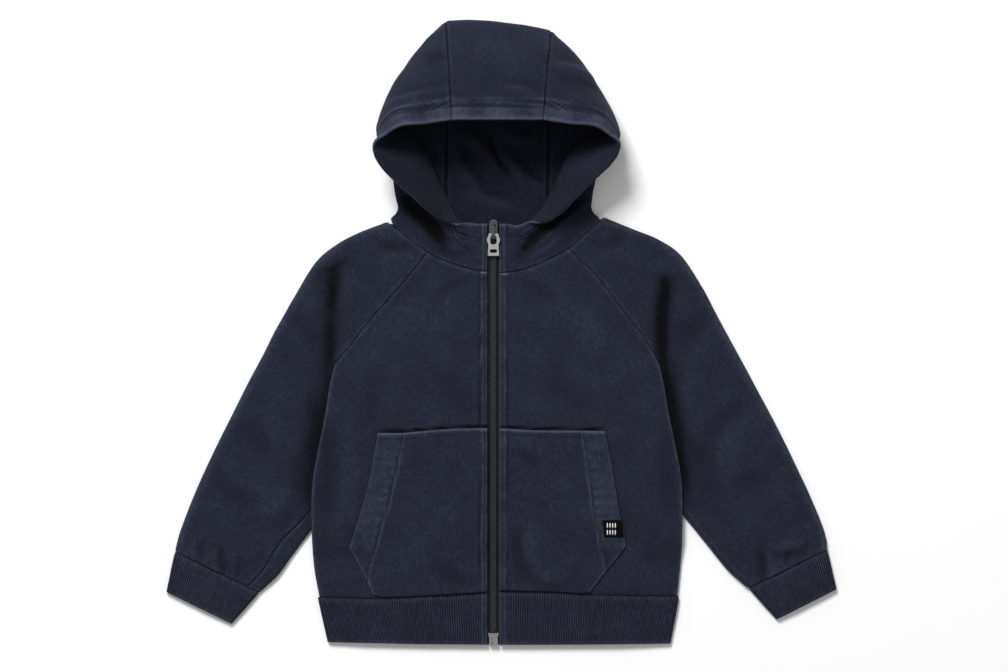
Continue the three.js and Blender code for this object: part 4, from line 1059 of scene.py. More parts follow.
def sleeve(side):
    m = MIRROR[side]
    yoke_places = np.linspace(0, len(YOKE_ROWS[side]) - 1, SLEEVE_COUNTS["yoke"])
    yoke = np.array([yoke_section(side, row) for row in between_rows(YOKE_ROWS[side], yoke_places)])
    arm_rows = np.array([arm_section(side, place) for place in range(len(ARM_ROWS[side]))])
    arm = between_rows(arm_rows, np.linspace(0, len(arm_rows) - 1, SLEEVE_COUNTS["arm"]))
    sections = np.concatenate((yoke, arm))
    middle_line = sections[:, SLEEVE_MIDDLE_COLUMN]
    at = np.concatenate(([0.0], np.cumsum(np.linalg.norm(np.diff(middle_line, axis=0), axis=1))))
    places = np.interp(spread(at[-1], 2.4) * at[-1], at, np.arange(len(sections)))
    grid = join_rows(sections, places)
    x, y = grid[..., 0], grid[..., 1]
    from_front, from_back = reach(grid, 1)
    from_neck, from_cuff = reach(grid, 0)
    facing_up = smooth(normals_of(grid)[..., 2] * 1.4)
    outside = m * x - edge_out(side, y)
    on_arm = (places > len(yoke) - 1)[:, None]
    free = np.where(on_arm, smooth((outside - 1) / 7), 1.0)
    top_y, end_y = VALLEY_ENDS[side]
    beside = m * (x - look_up(VALLEY[side], y, 1, 0))
    valley = smooth((top_y - y) / VALLEY_FADE["top"]) * smooth((y - end_y) / VALLEY_FADE["end"]) * facing_up
    folds = creases(x, y, SLEEVE_CREASES)
    relief = folds + waves(x, y, SLEEVE_WAVES, m) - valley * bands(beside, VALLEY_RELIEF)
    relief += 0.8 * puckers(from_cuff, from_front, 10, 11, 0.4 + m) * smooth(from_cuff / 2)
    relief *= facing_up * free
    relief += (seam_dip(from_front, y, 1.3 + m) + seam_dip(from_back, y, 2.3 + m) * free
               + seam_dip(from_neck, x, 0.2 + m) + seam_dip(from_cuff, x, 0.8)) * mix(0.2, 1.0, facing_up)
    wear_and_shade = (seam_wear(from_front, y, 0.3) + seam_wear(from_back, y, 1.9) + seam_wear(from_neck, x, 0.5)
            + seam_wear(from_cuff, x, 1.2))
    outer_fold = np.abs(m * x - np.max(m * x, axis=1, keepdims=True))
    # Painted highlight along the outer fold, and painted shade and highlight along the creases.
    wear_and_shade += bands(outer_fold, OUTER_FOLD_HIGHLIGHT) + crease_shade_and_highlight(folds) * facing_up
    # Painted shade in the valley where the sleeve drops off the body.
    wear_and_shade -= valley * bands(beside, [(1, 6, VALLEY_PAINTED_SHADE[side]), (6, 14, 0.1)])
    shell = Shell(f"cloth_sleeve_{side}", grid, FLEECE, middle=relief, wear_and_shade=wear_and_shade)
    dress(shell.object, "garment", "fleece", fleece, f"sleeve_{side}")
    return shell


# Ribs

RIB_STEPS = 6
RIB_CONTRAST = {"cuff": 1.75, "hem": 1.2}
RIB_SEAM_RELIEF = [(0, 1.4, -0.55)]
RIB_SEAM_TONE = [(2.5, 2, 0.15), (0, 1.5, -0.12)]
RIB_EDGE_RUB = [(0.8, 2.2, 0.22)]
FOLD_STEPS = 9  # round the fold between the front and the back of a rib
FOLD_WEAR = 0.1
CUFF_LOFT = 0.6


def fold_angles():
    return math.pi * np.arange(1, FOLD_STEPS) / FOLD_STEPS


def rib_wave(count, contrast):
    """Relief and tone for a stretch of ribs, with each valley at a step: paler on the ridges, where they rub,
    and painted shade in the valleys.
    """
    phase = np.arange(count * RIB_STEPS + 1) / RIB_STEPS
    ridge = np.abs(np.sin(math.pi * phase)) ** 0.75
    return RIB_HEIGHT * (ridge - 0.1), contrast * (0.62 * ridge - 0.5) + 0.1 * (contrast - 1)


def under_rib(ridge):
    """Relief of the same ribs where they lie on the floor."""
    return -0.5 * (RIB_HEIGHT - ridge)


def ribbed(name, sections, relief, wear_and_shade, heights, closed):
    """A ribbed band with its ribs down the grid's columns."""
    grid = np.array(sections)
    share = heights[:, None]
    from_seam, from_edge = reach(grid, 0)
    crest = np.arange(grid.shape[1])[None, :] / RIB_STEPS * RIB_PITCH
    middle = (bands(from_seam, RIB_SEAM_RELIEF) + 0.2 * wobble(crest, from_seam, 40, 5)
              + 0.35 * hump(share, 0.5, 0.4) * smooth(from_seam / 3)
              + 0.45 * puckers(from_seam, crest, 9, 11, 0.4))
    up = smooth(normals_of(grid, closed)[..., 2] * 2)
    ends = smooth(from_seam / 1.2) * smooth(from_edge / 0.8)
    strength = 0.82 + 0.18 * wobble(crest * 2, from_seam, 25, 9)
    worn_and_shaded = wear_and_shade[None, :] * strength + bands(from_edge, RIB_EDGE_RUB) + bands(from_seam, RIB_SEAM_TONE)
    outer = relief[None, :] * ends * strength
    return Shell(name, grid, FLEECE, middle=middle * up, outer=outer, wear_and_shade=worn_and_shaded, closed=closed)


def cuff(side):
    m = MIRROR[side]
    end = np.array(ARM_ROWS[side][-1])
    outer_top, inner_top = end[:2], end[2:4]
    inner_edge, outer_edge = (np.array(corner) for corner in CUFF_EDGE[side])
    count = round(np.linalg.norm(outer_top - inner_top) / RIB_PITCH)
    length = np.linalg.norm(outer_edge - outer_top)
    heights = mix(2 * SEAM / length, 1.0, spread(length, 3.2))
    t = np.linspace(0, 1, count * RIB_STEPS + 1)
    top_z = BACK_Z + 2 * FOLD_RADIUS
    angle = fold_angles()
    sections = []
    for v in heights:
        a = mix(outer_top, outer_edge, v)
        b = mix(inner_top, inner_edge, v)
        width = np.linalg.norm(b - a)
        across = (b - a) / width
        runs = [
            (mix(FOLD_RADIUS, width - FOLD_RADIUS, t), top_z + CUFF_LOFT * np.sin(math.pi * t)),
            (width - FOLD_RADIUS + FOLD_RADIUS * np.sin(angle), BACK_Z + FOLD_RADIUS * (1 + np.cos(angle))),
            (mix(width - FOLD_RADIUS, FOLD_RADIUS, t), np.full_like(t, BACK_Z)),
            (FOLD_RADIUS - FOLD_RADIUS * np.sin(angle), BACK_Z + FOLD_RADIUS * (1 - np.cos(angle)))]
        s = np.concatenate([run[0] for run in runs])
        z = np.concatenate([run[1] for run in runs])
        plan = a + across * s[:, None]
        sections.append(np.column_stack((m * plan[:, 0], plan[:, 1], z)))
    ridge, worn_and_shaded = rib_wave(count, RIB_CONTRAST["cuff"])
    level, rubbed = np.zeros(FOLD_STEPS - 1), np.full(FOLD_STEPS - 1, FOLD_WEAR)
    relief = np.concatenate((ridge, level, under_rib(ridge), level))
    wear_and_shade = np.concatenate((worn_and_shaded, rubbed, worn_and_shaded, rubbed))
    shell = ribbed(f"rib_cuff_{side}", sections, relief, wear_and_shade, heights, True)
    dress(shell.object, "garment", "rib", rib, f"cuff_{side}")
    return shell


HEM_OVERHANG = 0.6
HEM_DRAWN_IN = {"left": 9.6, "right": 8}  # how much narrower each side is at the bottom edge
HEM_LENGTH = 46
HEM_HEIGHT_Y = -249.0  # the band keeps the body's height at this line
HEM_UNDER_Y = -249.6
HEM_PLACKET = {"reach": 0.5, "fade": 0.8, "height": 0.42, "groove": 0.45, "groove_width": 0.7}
HEM_PLACKET_RUB = [(0.7, 1.0, 0.3), (PLACKET_STITCH - 1.6, 1.1, 0.26), (PLACKET_STITCH, 0.7, -0.3)]


def hem_stripes(side, count):
    """Relief, and wear with painted shade in the rib valleys, of the ribs on one side of the front, plain
    beside the zip.
    """
    ridge, worn_and_shaded = rib_wave(count, RIB_CONTRAST["hem"])
    from_zip = np.arange(len(ridge)) / RIB_STEPS * RIB_PITCH
    shape = HEM_PLACKET
    plain = 1 - smooth((from_zip - PLACKET_STITCH - shape["reach"]) / shape["fade"])
    flat = shape["height"] - shape["groove"] * hump(from_zip, PLACKET_STITCH, shape["groove_width"])
    stripes = mix(ridge, flat, plain), mix(worn_and_shaded, bands(from_zip, HEM_PLACKET_RUB), plain)
    return stripes if side == "left" else [stripe[::-1] for stripe in stripes]


def hem_band():
    reach_out = {side: SIDE_EDGE[side][-1][0] + HEM_OVERHANG for side in SIDES}
    counts = {side: round((reach_out[side] - MIRROR[side] * ZIP_X - ZIP_HALF_STRIP) / RIB_PITCH)
              for side in SIDES}
    under_count = sum(counts.values())
    heights = spread(HEM_LENGTH, 3.2)
    angle = fold_angles()
    sections = []
    for v in heights:
        def place_y(x):
            return mix(look_up(HEM_SEAM, x) - SEAM, look_up(HEM_EDGE, x), v)

        fold_at = {side: reach_out[side] - HEM_DRAWN_IN[side] * v - FOLD_RADIUS for side in SIDES}
        fronts, folds = {}, {}
        for side in SIDES:
            m = MIRROR[side]
            x = np.linspace(ZIP_X + m * ZIP_HALF_STRIP, m * fold_at[side], counts[side] * RIB_STEPS + 1)
            z = front_z_on_side(side, x, np.full_like(x, HEM_HEIGHT_Y))
            fronts[side] = np.column_stack((x, place_y(x), z))
            x = m * (fold_at[side] + FOLD_RADIUS * np.sin(angle))
            folds[side] = np.column_stack((x, place_y(x), BACK_Z + FOLD_RADIUS * (1 + np.cos(angle))))
        x = np.linspace(-fold_at["left"], fold_at["right"], under_count * RIB_STEPS + 1)
        y = mix(HEM_UNDER_Y, look_up(HEM_EDGE, x), v) - SEAM * (1 - v)
        under = np.column_stack((x, y, np.full_like(x, BACK_Z)))
        sections.append(np.concatenate((fronts["left"], folds["left"], under, folds["right"][::-1],
                                        fronts["right"][::-1])))
    level, rubbed = np.zeros(FOLD_STEPS - 1), np.full(FOLD_STEPS - 1, FOLD_WEAR)
    left, right = (hem_stripes(side, counts[side]) for side in SIDES)
    ridge, worn_and_shaded = rib_wave(under_count, RIB_CONTRAST["hem"])
    relief = np.concatenate((left[0], level, under_rib(ridge), level, right[0]))
    wear_and_shade = np.concatenate((left[1], rubbed, worn_and_shaded, rubbed, right[1]))
    shell = ribbed("rib_hem_band", sections, relief, wear_and_shade, heights, False)
    dress(shell.object, "garment", "rib", rib, "hem_band")
    return shell


# Hood

def neck_y(side, row, x):
    out = MIRROR[side] * x
    front_out, front_y, fold_out, fold_y, back_out, back_y = YOKE_ROWS[side][0]
    behind = np.where(out < back_out, mix(BACK_NECK_Y, back_y, smooth(out / back_out)),
                      mix(back_y, fold_y, (out - back_out) / (fold_out - back_out)))
    before = np.where(out < front_out, look_up(NECK_SEAM[side], out),
                      mix(front_y, fold_y, (out - front_out) / (fold_out - front_out)))
    return np.where(row >= BACK_ROWS_FROM, behind, before)


def hood_grid(side, rows, cols):
    """Sections of a side panel at row places, with columns at 0 to 1 from neck seam to brim."""
    m = MIRROR[side]
    places = between_rows(np.array(HOOD_ROWS).reshape(len(HOOD_ROWS), -1), rows).reshape(len(rows), -1, 3)
    half, y, z = places[..., 0], places[..., 1], places[..., 2]
    lean = look_up(HOOD_LEAN, y) * smooth((half - ZIP_HALF_STRIP) / 40)
    sag = HOOD_SAG * np.array(SAG_SHARE) * smooth((y - 150) / 60) if side == "right" else 0
    trim = look_up(HOOD_TRIM[side], y) * smooth((half - TRIM_FROM) / TRIM_FADE)
    points = np.dstack((ZIP_X + m * (half - trim) + lean, y - sag, z))
    lowest = neck_y(side, rows, points[:, 0, 0]) + NECK_GAP
    near_corner = smooth((1.0 - np.abs(rows - CORNER_ROW)) / 0.75)
    points[:, 0, 1] = mix(lowest, np.maximum(points[:, 0, 1], lowest), near_corner)
    grid = between_rows(np.swapaxes(points, 0, 1), cols * (points.shape[1] - 1))
    grid = np.swapaxes(grid, 0, 1)
    grid[..., 2] = np.maximum(grid[..., 2], HOOD_CLOTH / 2)
    return grid


HOOD_COLS = spread(300, 2.5)
BRIM_RAISE = 0.8
BRIM_GROOVES = [(at, 0.75, 1) for at in HEM_STITCHES]
BRIM_LIP = [(HEM_STITCHES[1] + 2.4, 1.6, 1)]
BRIM_EDGE_RUB = [(0.6, 2.0, 0.42)]
BRIM_MIDDLE_RUB = [(sum(HEM_STITCHES) / 2, 0.8, 0.3)]
CHIN_Y = 142
LINING_WIDTH = 15.5  # of the brim's turned hem, on the inside
MIDDLE_SEAM = [(0, 0.8, -0.75)]
INNER_SEAM = [(0, 0.8, -0.35), (3.5, 1.2, 0.12)]
STAND_RELIEF = {"band": 0.3, "groove": -0.45}
STAND_RUB = [(PLACKET_STITCH - 1.9, 1.1, 0.4), (0.6, 0.9, 0.3)]
STAND_EDGE_RUB = [(0.8, 1.6, 0.4)]
# Where the brim lumps up beside the zip: from and to in plan, with their fades and the brim's width
LUMPS = {"from": 7, "from_fade": 8, "to": 45, "to_fade": 25, "width": 15}
LUMP_WAVES = {"y": (1.7, 26, 31), "z": (1.3, 19, 35)}
HOOD_END = 0.0005  # share of its width that the middle panel stops short of each seam


def hood_relief(grid, from_brim, from_neck, along, first_up=True):
    """What the hood's panels share: relief of the middle, outside and inside, and both faces' wear with
    painted shade and painted highlight.
    """
    x, y, z = grid[..., 0], grid[..., 1], grid[..., 2]
    facing = normals_of(grid, first_up=first_up)[..., 2]
    by_chin = smooth((CHIN_Y - y) / 10)
    above = smooth(facing * 2) * smooth((z - 10) / 8)
    lining = smooth(-facing * 2) * smooth((12 - z) / 6)
    neck = smooth(facing * 2) * smooth((22 - z) / 6) * by_chin
    deep = smooth(facing * 5) * smooth((46 - z) / 10) * by_chin * smooth((from_brim - 3) / 8)
    wall = smooth((z - 9) / 9) * (1 - lining)
    folds = creases(x, y, LINING_FOLDS) * smooth((from_neck - 4) / 12)
    shadows = deep * np.maximum(creases(x, y, NECK_SHADOWS), 0) / CREASE_GAIN
    outside = above * creases(x, y, CROWN_CREASES) + neck * creases(x, y, NECK_CREASES)
    middle = outside - lining * np.maximum(folds, 0) + seam_dip(from_neck, along, 0.9)
    middle += 0.55 * wobble(x, y + z, 48, 21) * smooth((from_brim - 12) / 20) * (1 - lining)
    middle += 0.18 * wobble(x, y + z, 18, 23)
    band = 1 - smooth((from_brim - HEM_STITCHES[0] + 0.8) / 1.6)
    lip = bands(from_brim, BRIM_LIP)
    grooves = bands(from_brim, BRIM_GROOVES)
    crimp = puckers(np.abs(from_brim - HEM_STITCHES[0]), along, 6, 9, 1.4)
    outer = BRIM_RAISE * band - 0.38 * grooves + 0.35 * lip + 0.11 * crimp * smooth(from_brim / 2)
    inner = 0.15 * (1 - smooth((from_brim - LINING_WIDTH) / 3))
    # Painted shade on the inner face of the raised wall and on the lining, with painted shade and highlight
    # along the lining's folds.
    under_wear_and_shade = -0.12 * wall - 0.17 * lining + 1.2 * lining * crease_shade_and_highlight(folds)
    patchy = 0.7 + 0.3 * np.sin(along / 7 + 1.9 * np.sin(along / 29))
    rubbed = 0.36 * band + 0.36 * lip + bands(from_brim, BRIM_MIDDLE_RUB)
    # Rubbed brim and seams, darker stitch lines, with painted shade and highlight along the creases and
    # painted shadow in the neck's deep folds.
    wear_and_shade = (rubbed * patchy - 0.05 + bands(from_brim, BRIM_EDGE_RUB) - 0.34 * grooves
            + crease_shade_and_highlight(outside) - shadows + seam_wear(from_neck, along, 0.6))
    return middle, outer, inner, wear_and_shade, under_wear_and_shade


def hood_shell(name, node, grid, seam, from_neck, from_brim, seeds, parts, first_up=True):
    """One panel of the hood, with the seam that joins a side to the middle panel worked in."""
    middle, outer, inner, wear_and_shade, under_wear_and_shade = parts
    middle = middle + seam_dip(seam, from_neck, seeds[0], 0.34)
    wear_and_shade = wear_and_shade + seam_wear(seam, from_neck, seeds[1]) + bands(seam, MIDDLE_SEAM)
    under_wear_and_shade = under_wear_and_shade + bands(seam, INNER_SEAM)
    shell = Shell(name, grid, HOOD_CLOTH, middle=middle, outer=outer, inner=inner, wear_and_shade=wear_and_shade,
                  under_wear_and_shade=under_wear_and_shade, first_up=first_up)
    dress(shell.object, "garment", "fleece", fleece, node)
    shell.from_brim = from_brim
    return shell


def hood_side(side):
    m = MIRROR[side]
    last = len(HOOD_ROWS) - 1
    rows = spread(330, 2.6) * (last - 0.001)
    grid = hood_grid(side, rows, HOOD_COLS)
    from_neck, from_brim = reach(grid, 1)
    from_zip, from_middle = reach(grid, 0)
    lumps = (smooth((from_zip - LUMPS["from"]) / LUMPS["from_fade"])
             * (1 - smooth((from_zip - LUMPS["to"]) / LUMPS["to_fade"])) * hump(from_brim, 0, LUMPS["width"]))
    for axis, key in ((1, "y"), (2, "z")):
        height, wavelength, seed = LUMP_WAVES[key]
        grid[..., axis] += height * lumps * wobble(grid[..., 0], 0.0, wavelength, seed + m)
    along = np.broadcast_to(reach(grid, 0)[0][:, -1:], from_neck.shape)
    middle, outer, inner, wear_and_shade, under_wear_and_shade = hood_relief(grid, from_brim, from_neck, along)
    place = rows[:, None]
    stand = hump(place, 0, 1.2)
    # Painted shade on the lining along the foot of the raised wall.
    foot = hump(HOOD_COLS * (len(SAG_SHARE) - 1), 3.05, 0.22) * smooth(6.5 - place)
    under_wear_and_shade = under_wear_and_shade - 0.3 * foot * smooth(place - 0.8)
    band, groove = (share * stand for share in placket(from_zip))
    outer = mix(outer, STAND_RELIEF["band"] * band + STAND_RELIEF["groove"] * groove, stand)
    stand_wear = (bands(from_zip, STAND_RUB) - 0.3 * groove + bands(from_brim, STAND_EDGE_RUB)
                  + seam_wear(from_neck, along, 0.6))
    parts = middle, outer, inner, mix(wear_and_shade, stand_wear, stand), under_wear_and_shade
    return hood_shell(f"cloth_hood_side_{side}", f"hood_side_{side}", grid, from_middle, from_neck,
                      from_brim, (0.3, 1.6), parts)


def hood_center():
    last = np.array([len(HOOD_ROWS) - 1.0])
    left, right = (hood_grid(side, last, HOOD_COLS)[0] for side in SIDES)
    rise, swell = between_rows(CROWN_BULGE, HOOD_COLS * (len(CROWN_BULGE) - 1)).T
    u = mix(HOOD_END, 1 - HOOD_END, spread(97, 2.4))[:, None]
    arch = np.sin(math.pi * u) ** 0.8
    grid = mix(left[None], right[None], u[..., None])
    grid[..., 1] += rise * arch
    grid[..., 2] = np.maximum(HOOD_CLOTH / 2, grid[..., 2] + swell * arch)
    from_neck, from_brim = reach(grid, 1)
    from_left, from_right = reach(grid, 0)
    parts = hood_relief(grid, from_brim, from_neck, from_left, False)
    return hood_shell("cloth_hood_center", "hood_center", grid, np.minimum(from_left, from_right),
                      from_neck, from_brim, (1.7, 0.8), parts, first_up=False)


# Pockets and label

POCKET_STEPS = ((125, 2.0), (155, 2.0))
OPENING_SHARE = 0.7  # of a pocket's outer border
POCKET_STITCH = 4.6  # from its top edge
POCKET_TOP_RELIEF = [(2.2, 1.6, 0.32), (POCKET_STITCH, 0.8, -0.3)]
POCKET_TOP_RUB = [(0.9, 1.1, 0.6), (POCKET_STITCH, 0.7, -0.2)]
POCKET_LOWER_RELIEF = [(2.0, 1.4, 0.34), (4.2, 0.9, -0.3)]
POCKET_LOWER_RUB = [(0.8, 1.2, 0.34)]
OPENING_RUB = [(0.5, 1.1, 0.06)]
FACING_RELIEF = [(-0.2, 0.8, -0.4)]
FACING_RUB = [(-1.6, 1.0, 0.34), (-0.1, 0.6, -0.3)]
FACING_FOOT_Y = -210


def pocket(side):
    m = MIRROR[side]
    outline = POCKET[side]
    zip_edge = ZIP_X + m * ZIP_HALF_STRIP
    u, v = (spread(*steps) for steps in POCKET_STEPS)
    outer = np.where((v < OPENING_SHARE)[:, None], curve_through(outline["opening"])(v / OPENING_SHARE),
                     curve_through(outline["lower"])((v - OPENING_SHARE) / (1 - OPENING_SHARE))) * (m, 1)
    top = curve_through(outline["top"][::-1])(u) * (m, 1)
    x = mix(zip_edge, outer[-1, 0], u)
    bottom = np.stack((x, mix(look_up(HEM_SEAM, x) + 1.2, outer[-1, 1], smooth((u - 0.9) / 0.1))), axis=1)
    top[0, 0] = zip_edge
    zip_line = np.stack((np.full_like(v, zip_edge), mix(top[0, 1], bottom[0, 1], v)), axis=1)
    plan = patch(top, bottom, zip_line, outer, u, v)
    x, y = plan[..., 0], plan[..., 1]
    grid = np.dstack((x, y, front_z_on_side(side, x, y)))
    _, from_outer = reach(grid, 1)
    from_top, _ = reach(grid, 0)
    opening = (1 - smooth((v - OPENING_SHARE + 0.06) / 0.04))[:, None] * smooth(v / 0.05)[:, None]
    sewn = np.maximum(hump(from_top, 0, 2.4), hump(from_outer, 0, 2.4) * (1 - opening))
    gap = LAYER_GAP * (1 - 0.9 * sewn) + 0.9 * opening * hump(from_outer, 0, 9)
    grid[..., 2] += (FLEECE + POCKET_CLOTH) / 2 + gap
    lower = (1 - opening) * smooth((v - 0.5) / 0.1)[:, None]
    facing = dense(FACING_STITCH[side], 2.0)
    from_facing = m * (x - look_up(facing[:, ::-1], y))
    in_facing = smooth(from_facing / 1.2) * smooth((y - FACING_FOOT_Y) / 12)
    crossing = puckers(np.abs(from_facing), y, 9, 9, 1.2 + m)
    relief = (body_relief(side, x, y) + bands(from_top, POCKET_TOP_RELIEF)
              + 0.16 * puckers(from_top, x, 6, 6, 0.5 + m) + 0.28 * in_facing
              + bands(from_facing, FACING_RELIEF) + 0.18 * crossing
              + bands(from_outer, POCKET_LOWER_RELIEF) * lower)
    # Wear, with the body's painted crease shade and highlight.
    wear_and_shade = (body_wear_and_shade(side, x, y) + bands(from_top, POCKET_TOP_RUB)
            + bands(from_outer, POCKET_LOWER_RUB) * lower + bands(from_outer, OPENING_RUB) * opening
            + bands(from_facing, FACING_RUB) + 0.12 * in_facing * (1 + crossing))
    shell = Shell(f"cloth_pocket_{side}", grid, POCKET_CLOTH, middle=relief, wear_and_shade=wear_and_shade)
    dress(shell.object, "garment", "fleece", fleece, f"pocket_{side}")
    return shell


LABEL = {"left": 95.8, "right": 114.2, "top": -177, "bottom": -193, "slant": 1.6}


def label_cloth(pocket_tree):
    u = spread(LABEL["right"] - LABEL["left"], 1.2, 0.2)
    v = spread(LABEL["top"] - LABEL["bottom"], 1.2, 0.2)
    x = mix(LABEL["left"], LABEL["right"], u)[None, :] + LABEL["slant"] * v[:, None]
    y = np.broadcast_to(mix(LABEL["top"], LABEL["bottom"], v)[:, None], x.shape)
    on_pocket = np.minimum(x, look_up(POCKET["right"]["opening"], y, 1, 0) - 1.6)
    points, _ = drop(np.column_stack((on_pocket.ravel(), y.ravel())), [pocket_tree])
    z = points[:, 2].reshape(x.shape) + LABEL_CLOTH / 2 + 0.12
    grid = np.dstack((x, y, z))
    west, _ = reach(grid, 1)
    relief = 0.3 * np.sin(math.pi * u)[None, :] * np.sin(math.pi * v)[:, None] + 0.1 * hump(west, 2.5, 1)
    shell = Shell("label_cloth", grid, LABEL_CLOTH, middle=relief)
    dress(shell.object, "garment", "side_label", label_twill, "label")
    return shell


LABEL_MARKS = {"rows": 2, "columns": 4, "left": 4.6, "pitch_x": 2.5, "top": 5.0, "pitch_y": 6.6}
LABEL_BAR = {"length": 4.6, "radius": 0.62}
# Shape of one bar. Columns: place along it, depth, share of the radius.
BAR_SHAPE = np.array([(0.5, -0.35, 0.75), (0.25, -0.22, 1), (0, -0.2, 1), (-0.25, -0.22, 1),
                      (-0.5, -0.35, 0.75)])
UP = (0.0, 0.0, 1.0)


def label_marks(tree):
    """A plain woven pattern of short upright bars."""
    along, depth, share = BAR_SHAPE.T
    lines = []
    for row in range(LABEL_MARKS["rows"]):
        for column in range(LABEL_MARKS["columns"]):
            x = LABEL["left"] + LABEL_MARKS["left"] + column * LABEL_MARKS["pitch_x"]
            y = LABEL["top"] - LABEL_MARKS["top"] - row * LABEL_MARKS["pitch_y"]
            points, _ = drop([(x, end) for end in y + LABEL_BAR["length"] * along], [tree])
            points[:, 2] += depth
            lines.append(points)
    marks = bars("label_marks", lines, np.tile(UP, (len(lines), 1)), LABEL_BAR["radius"] * share, 8)
    dress(marks, "garment", "side_label", pale_thread)


# Zip

TAPE_STEPS = {"hood": 20, "body": 130}
TAPE_INNER = 0.25
# One turn of the coil. Columns: outwards, height, skew along the zip, radius.
COIL_TURN = np.array([(-0.5, 0.55, 0.0, 0.34), (0.5, 1.0, 0.05, 0.4), (1.4, 1.1, 0.12, 0.42),
                      (2.35, 0.95, 0.25, 0.4), (COIL_HALF, 0.3, 0.38, 0.3)])


def zip_tape(side):
    m = MIRROR[side]
    stations = np.unique(np.concatenate((np.linspace(ZIP_TOP_Y, NECK_ZIP_Y, TAPE_STEPS["hood"]),
                                         np.linspace(NECK_ZIP_Y, TAPE_FOOT_Y, TAPE_STEPS["body"]))))[::-1]
    across = mix(TAPE_INNER, TAPE_HALF, spread(TAPE_HALF, 0.9, TAPE_INNER))
    x = np.broadcast_to(ZIP_X + m * across, (len(stations), len(across)))
    y = np.broadcast_to(stations[:, None], x.shape)
    grid = np.dstack((x, y, zip_z(y) - TAPE_DROP))
    cord = 0.22 * hump(across, COIL_HALF + 0.9, 0.5)
    shell = Shell(f"tape_{side}", grid, TAPE_CLOTH, outer=np.broadcast_to(cord, x.shape))
    dress(shell.object, "garment", "zip_tape", tape_weave, f"zip_tape_{side}")
    return shell


def zip_coil():
    """Interlocking turns of the coil, half of them on each side."""
    places = np.arange(CHAIN_FOOT_Y + 0.8, CHAIN_TOP_Y, COIL_PITCH)
    outwards, heights, skew, radii = COIL_TURN.T
    lines = []
    for m, shift in ((-1, 0.0), (1, COIL_PITCH / 2)):
        x = np.broadcast_to(ZIP_X + m * outwards, (len(places), len(outwards)))
        y = places[:, None] + shift + skew
        z = zip_z(y) - TAPE_DROP + TAPE_CLOTH / 2 + 0.3 + heights
        lines.append(np.dstack((x, y, z)))
    lines = np.concatenate(lines)
    coil = bars("zip_coil", lines, np.tile(UP, (len(lines), 1)), radii)
    dress(coil, "garment", "zip_coil", coil_plastic, "zip_chain")


def rounded_metal(node, name, body, slot, material, width):
    """A CAD metal part with its edges eased."""
    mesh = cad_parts[node].data.copy()
    work = bmesh.new()
    work.from_mesh(mesh)
    bmesh.ops.remove_doubles(work, verts=work.verts, dist=2e-6)
    bmesh.ops.dissolve_limit(work, angle_limit=math.radians(2), verts=work.verts, edges=work.edges)
    work.to_mesh(mesh)
    work.free()
    obj = bpy.data.objects.new(name, mesh)
    bpy.context.collection.objects.link(obj)
    bevel = obj.modifiers.new("eased", "BEVEL")
    bevel.width = width * MM
    bevel.segments = 3
    bevel.limit_method = "ANGLE"
    bevel.angle_limit = math.radians(32)
    dress(obj, body, slot, material, node)


# Build

camera_data = bpy.data.cameras.new("camera")
camera_data.sensor_width = SENSOR
camera_data.lens = SENSOR * CAMERA_HEIGHT / VIEW_WIDTH
camera = bpy.data.objects.new("camera", camera_data)
camera.location = (*VIEW_CENTRE, CAMERA_HEIGHT)
bpy.context.collection.objects.link(camera)
bpy.context.scene.camera = camera

shells = {"back": back(), "hem_band": hem_band(), "hood_center": hood_center(),
          "tape_left": zip_tape("left"), "tape_right": zip_tape("right")}
for side in SIDES:
    shells[f"front_{side}"] = front(side)
    shells[f"sleeve_{side}"] = sleeve(side)
    shells[f"cuff_{side}"] = cuff(side)
    shells[f"hood_side_{side}"] = hood_side(side)
    shells[f"pocket_{side}"] = pocket(side)
trees = {name: shell.tree() for name, shell in shells.items() if name != "back"}
shells["label"] = label_cloth(trees["pocket_right"])
label_marks(shells["label"].tree())
zip_coil()
rounded_metal("zip_slider", "slider_metal", "garment", "dark_metal", gunmetal, 0.3)
rounded_metal("zip_box", "box_metal", "garment", "silver_metal", box_plate, 0.3)
rounded_metal("zip_pull", "pull_metal", "pull", "silver_metal", silver, 0.26)

# Stitches: along the zip over every piece, on the pockets and round the brim
PLACKET_POINTS = 500
POCKET_LOWER_STITCH = (4.0, 2.2)  # inwards and up from the pocket's lower edge
TOP_STITCH_FROM = 4  # points left out at the opening's corner
TACK_STITCH = {"pitch": 2.3, "length": 2.0}
BRIM_FROM = 60  # a side panel's rows have brim stitches where they are this deep
# One neck tack. Columns: place across the seam, height, radius.
TACK_SHAPE = np.array([(-0.9, -0.1, 0.16), (-0.5, 0.12, 0.24), (0.5, 0.12, 0.24), (0.9, -0.1, 0.16)])


def sew_round_brim(shell, rows):
    for distance in HEM_STITCHES:
        path, ups = [], []
        for k in rows:
            order = np.argsort(shell.from_brim[k])
            d = shell.from_brim[k][order]
            path.append([np.interp(distance, d, shell.outer[k, order, c]) for c in range(3)])
            ups.append([np.interp(distance, d, shell.normals[k, order, c]) for c in range(3)])
        sew(np.array(path), np.array(ups))


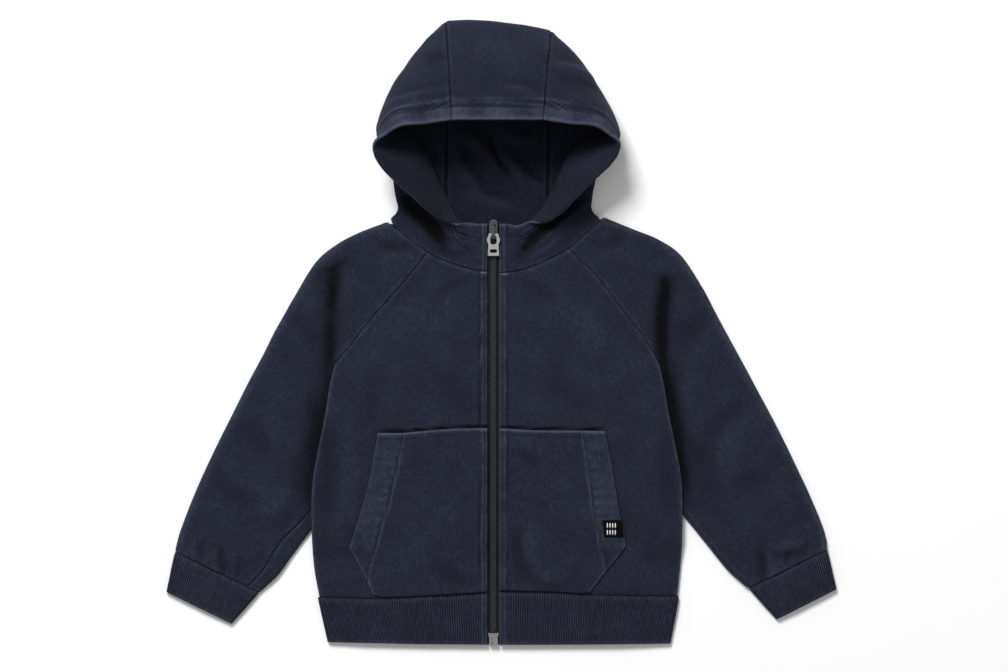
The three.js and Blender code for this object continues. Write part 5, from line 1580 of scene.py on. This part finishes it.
for side in SIDES:
    m = MIRROR[side]
    x = ZIP_X + m * (ZIP_HALF_STRIP + PLACKET_STITCH)
    line = np.column_stack((np.full(PLACKET_POINTS, x),
                            np.linspace(ZIP_TOP_Y - 3, HEM_Y + 1.5, PLACKET_POINTS)))
    sew(*drop(line, [trees[f"hood_side_{side}"], trees[f"front_{side}"], trees[f"pocket_{side}"],
                     trees["hem_band"]]))
    pocket_tree = trees[f"pocket_{side}"]
    sew(*drop(dense(FACING_STITCH[side]), [pocket_tree]))
    tack = POCKET_TACK[side]
    sew(*drop(dense([tack[0], np.mean(tack, axis=0), tack[1]]), [pocket_tree]), **TACK_STITCH)
    top = dense(np.array(POCKET[side]["top"]) * (m, 1) - (0, POCKET_STITCH))
    sew(*drop(top[TOP_STITCH_FROM:], [pocket_tree]))
    inwards, up = POCKET_LOWER_STITCH
    sew(*drop(dense(np.array(POCKET[side]["lower"]) * (m, 1) + (-m * inwards, up)), [pocket_tree]))
    hood = shells[f"hood_side_{side}"]
    sew_round_brim(hood, np.flatnonzero(hood.from_brim[:, 0] > BRIM_FROM))
sew_round_brim(shells["hood_center"], range(len(shells["hood_center"].from_brim)))

across, height, radius = TACK_SHAPE.T
tacked = [trees[f"front_{side}"] for side in SIDES] + [trees[f"hood_side_{side}"] for side in SIDES]
tack_lines, tack_ups = [], []
for x1, y1, x2, y2 in NECK_TACKS:
    for share in np.linspace(0, 1, 9):
        x, y = mix(x1, x2, share), mix(y1, y2, share)
        points, ups = drop([(x, y + d) for d in across], tacked)
        if len(points) == len(across):
            points[:, 2] += height
            tack_lines.append(points)
            tack_ups.append(ups)
tacks = bars("neck_tacks", np.array(tack_lines), np.array(tack_ups)[:, 0], radius, 6)
dress(tacks, "garment", "fleece", tack_thread)

all_stitches = bars("stitches", np.concatenate(stitch_lines), np.concatenate(stitch_ups),
                    STITCH["radius"] * STITCH_SHAPE[:, 2], 6)
dress(all_stitches, "garment", "fleece", thread)

# Floor and light
FLOOR_HALF = 4.0
SKY_STRENGTH = 0.45
KEY_LIGHT = {"place": (-1.3, 3.0, 3.4), "size": 1.6, "power": 235}  # metres and watts

floor = mesh_object("floor", np.array([(-1, -1, 0), (1, -1, 0), (1, 1, 0), (-1, 1, 0)]) * FLOOR_HALF / MM
                    - (0, 0, 0.4), [(0, 1, 2, 3)])
floor.data.materials.append(white_floor)

world = bpy.data.worlds.new("studio")
world.use_nodes = True
world.node_tree.nodes["Background"].inputs["Color"].default_value = (1, 1, 1, 1)
world.node_tree.nodes["Background"].inputs["Strength"].default_value = SKY_STRENGTH
bpy.context.scene.world = world
bpy.context.scene.view_settings.view_transform = "Standard"

light = bpy.data.lights.new("key", "AREA")
light.size = KEY_LIGHT["size"]
light.energy = KEY_LIGHT["power"]
lamp = bpy.data.objects.new("key", light)
lamp.location = KEY_LIGHT["place"]
lamp.rotation_euler = (-Vector(KEY_LIGHT["place"])).to_track_quat("-Z", "Y").to_euler()
bpy.context.collection.objects.link(lamp)
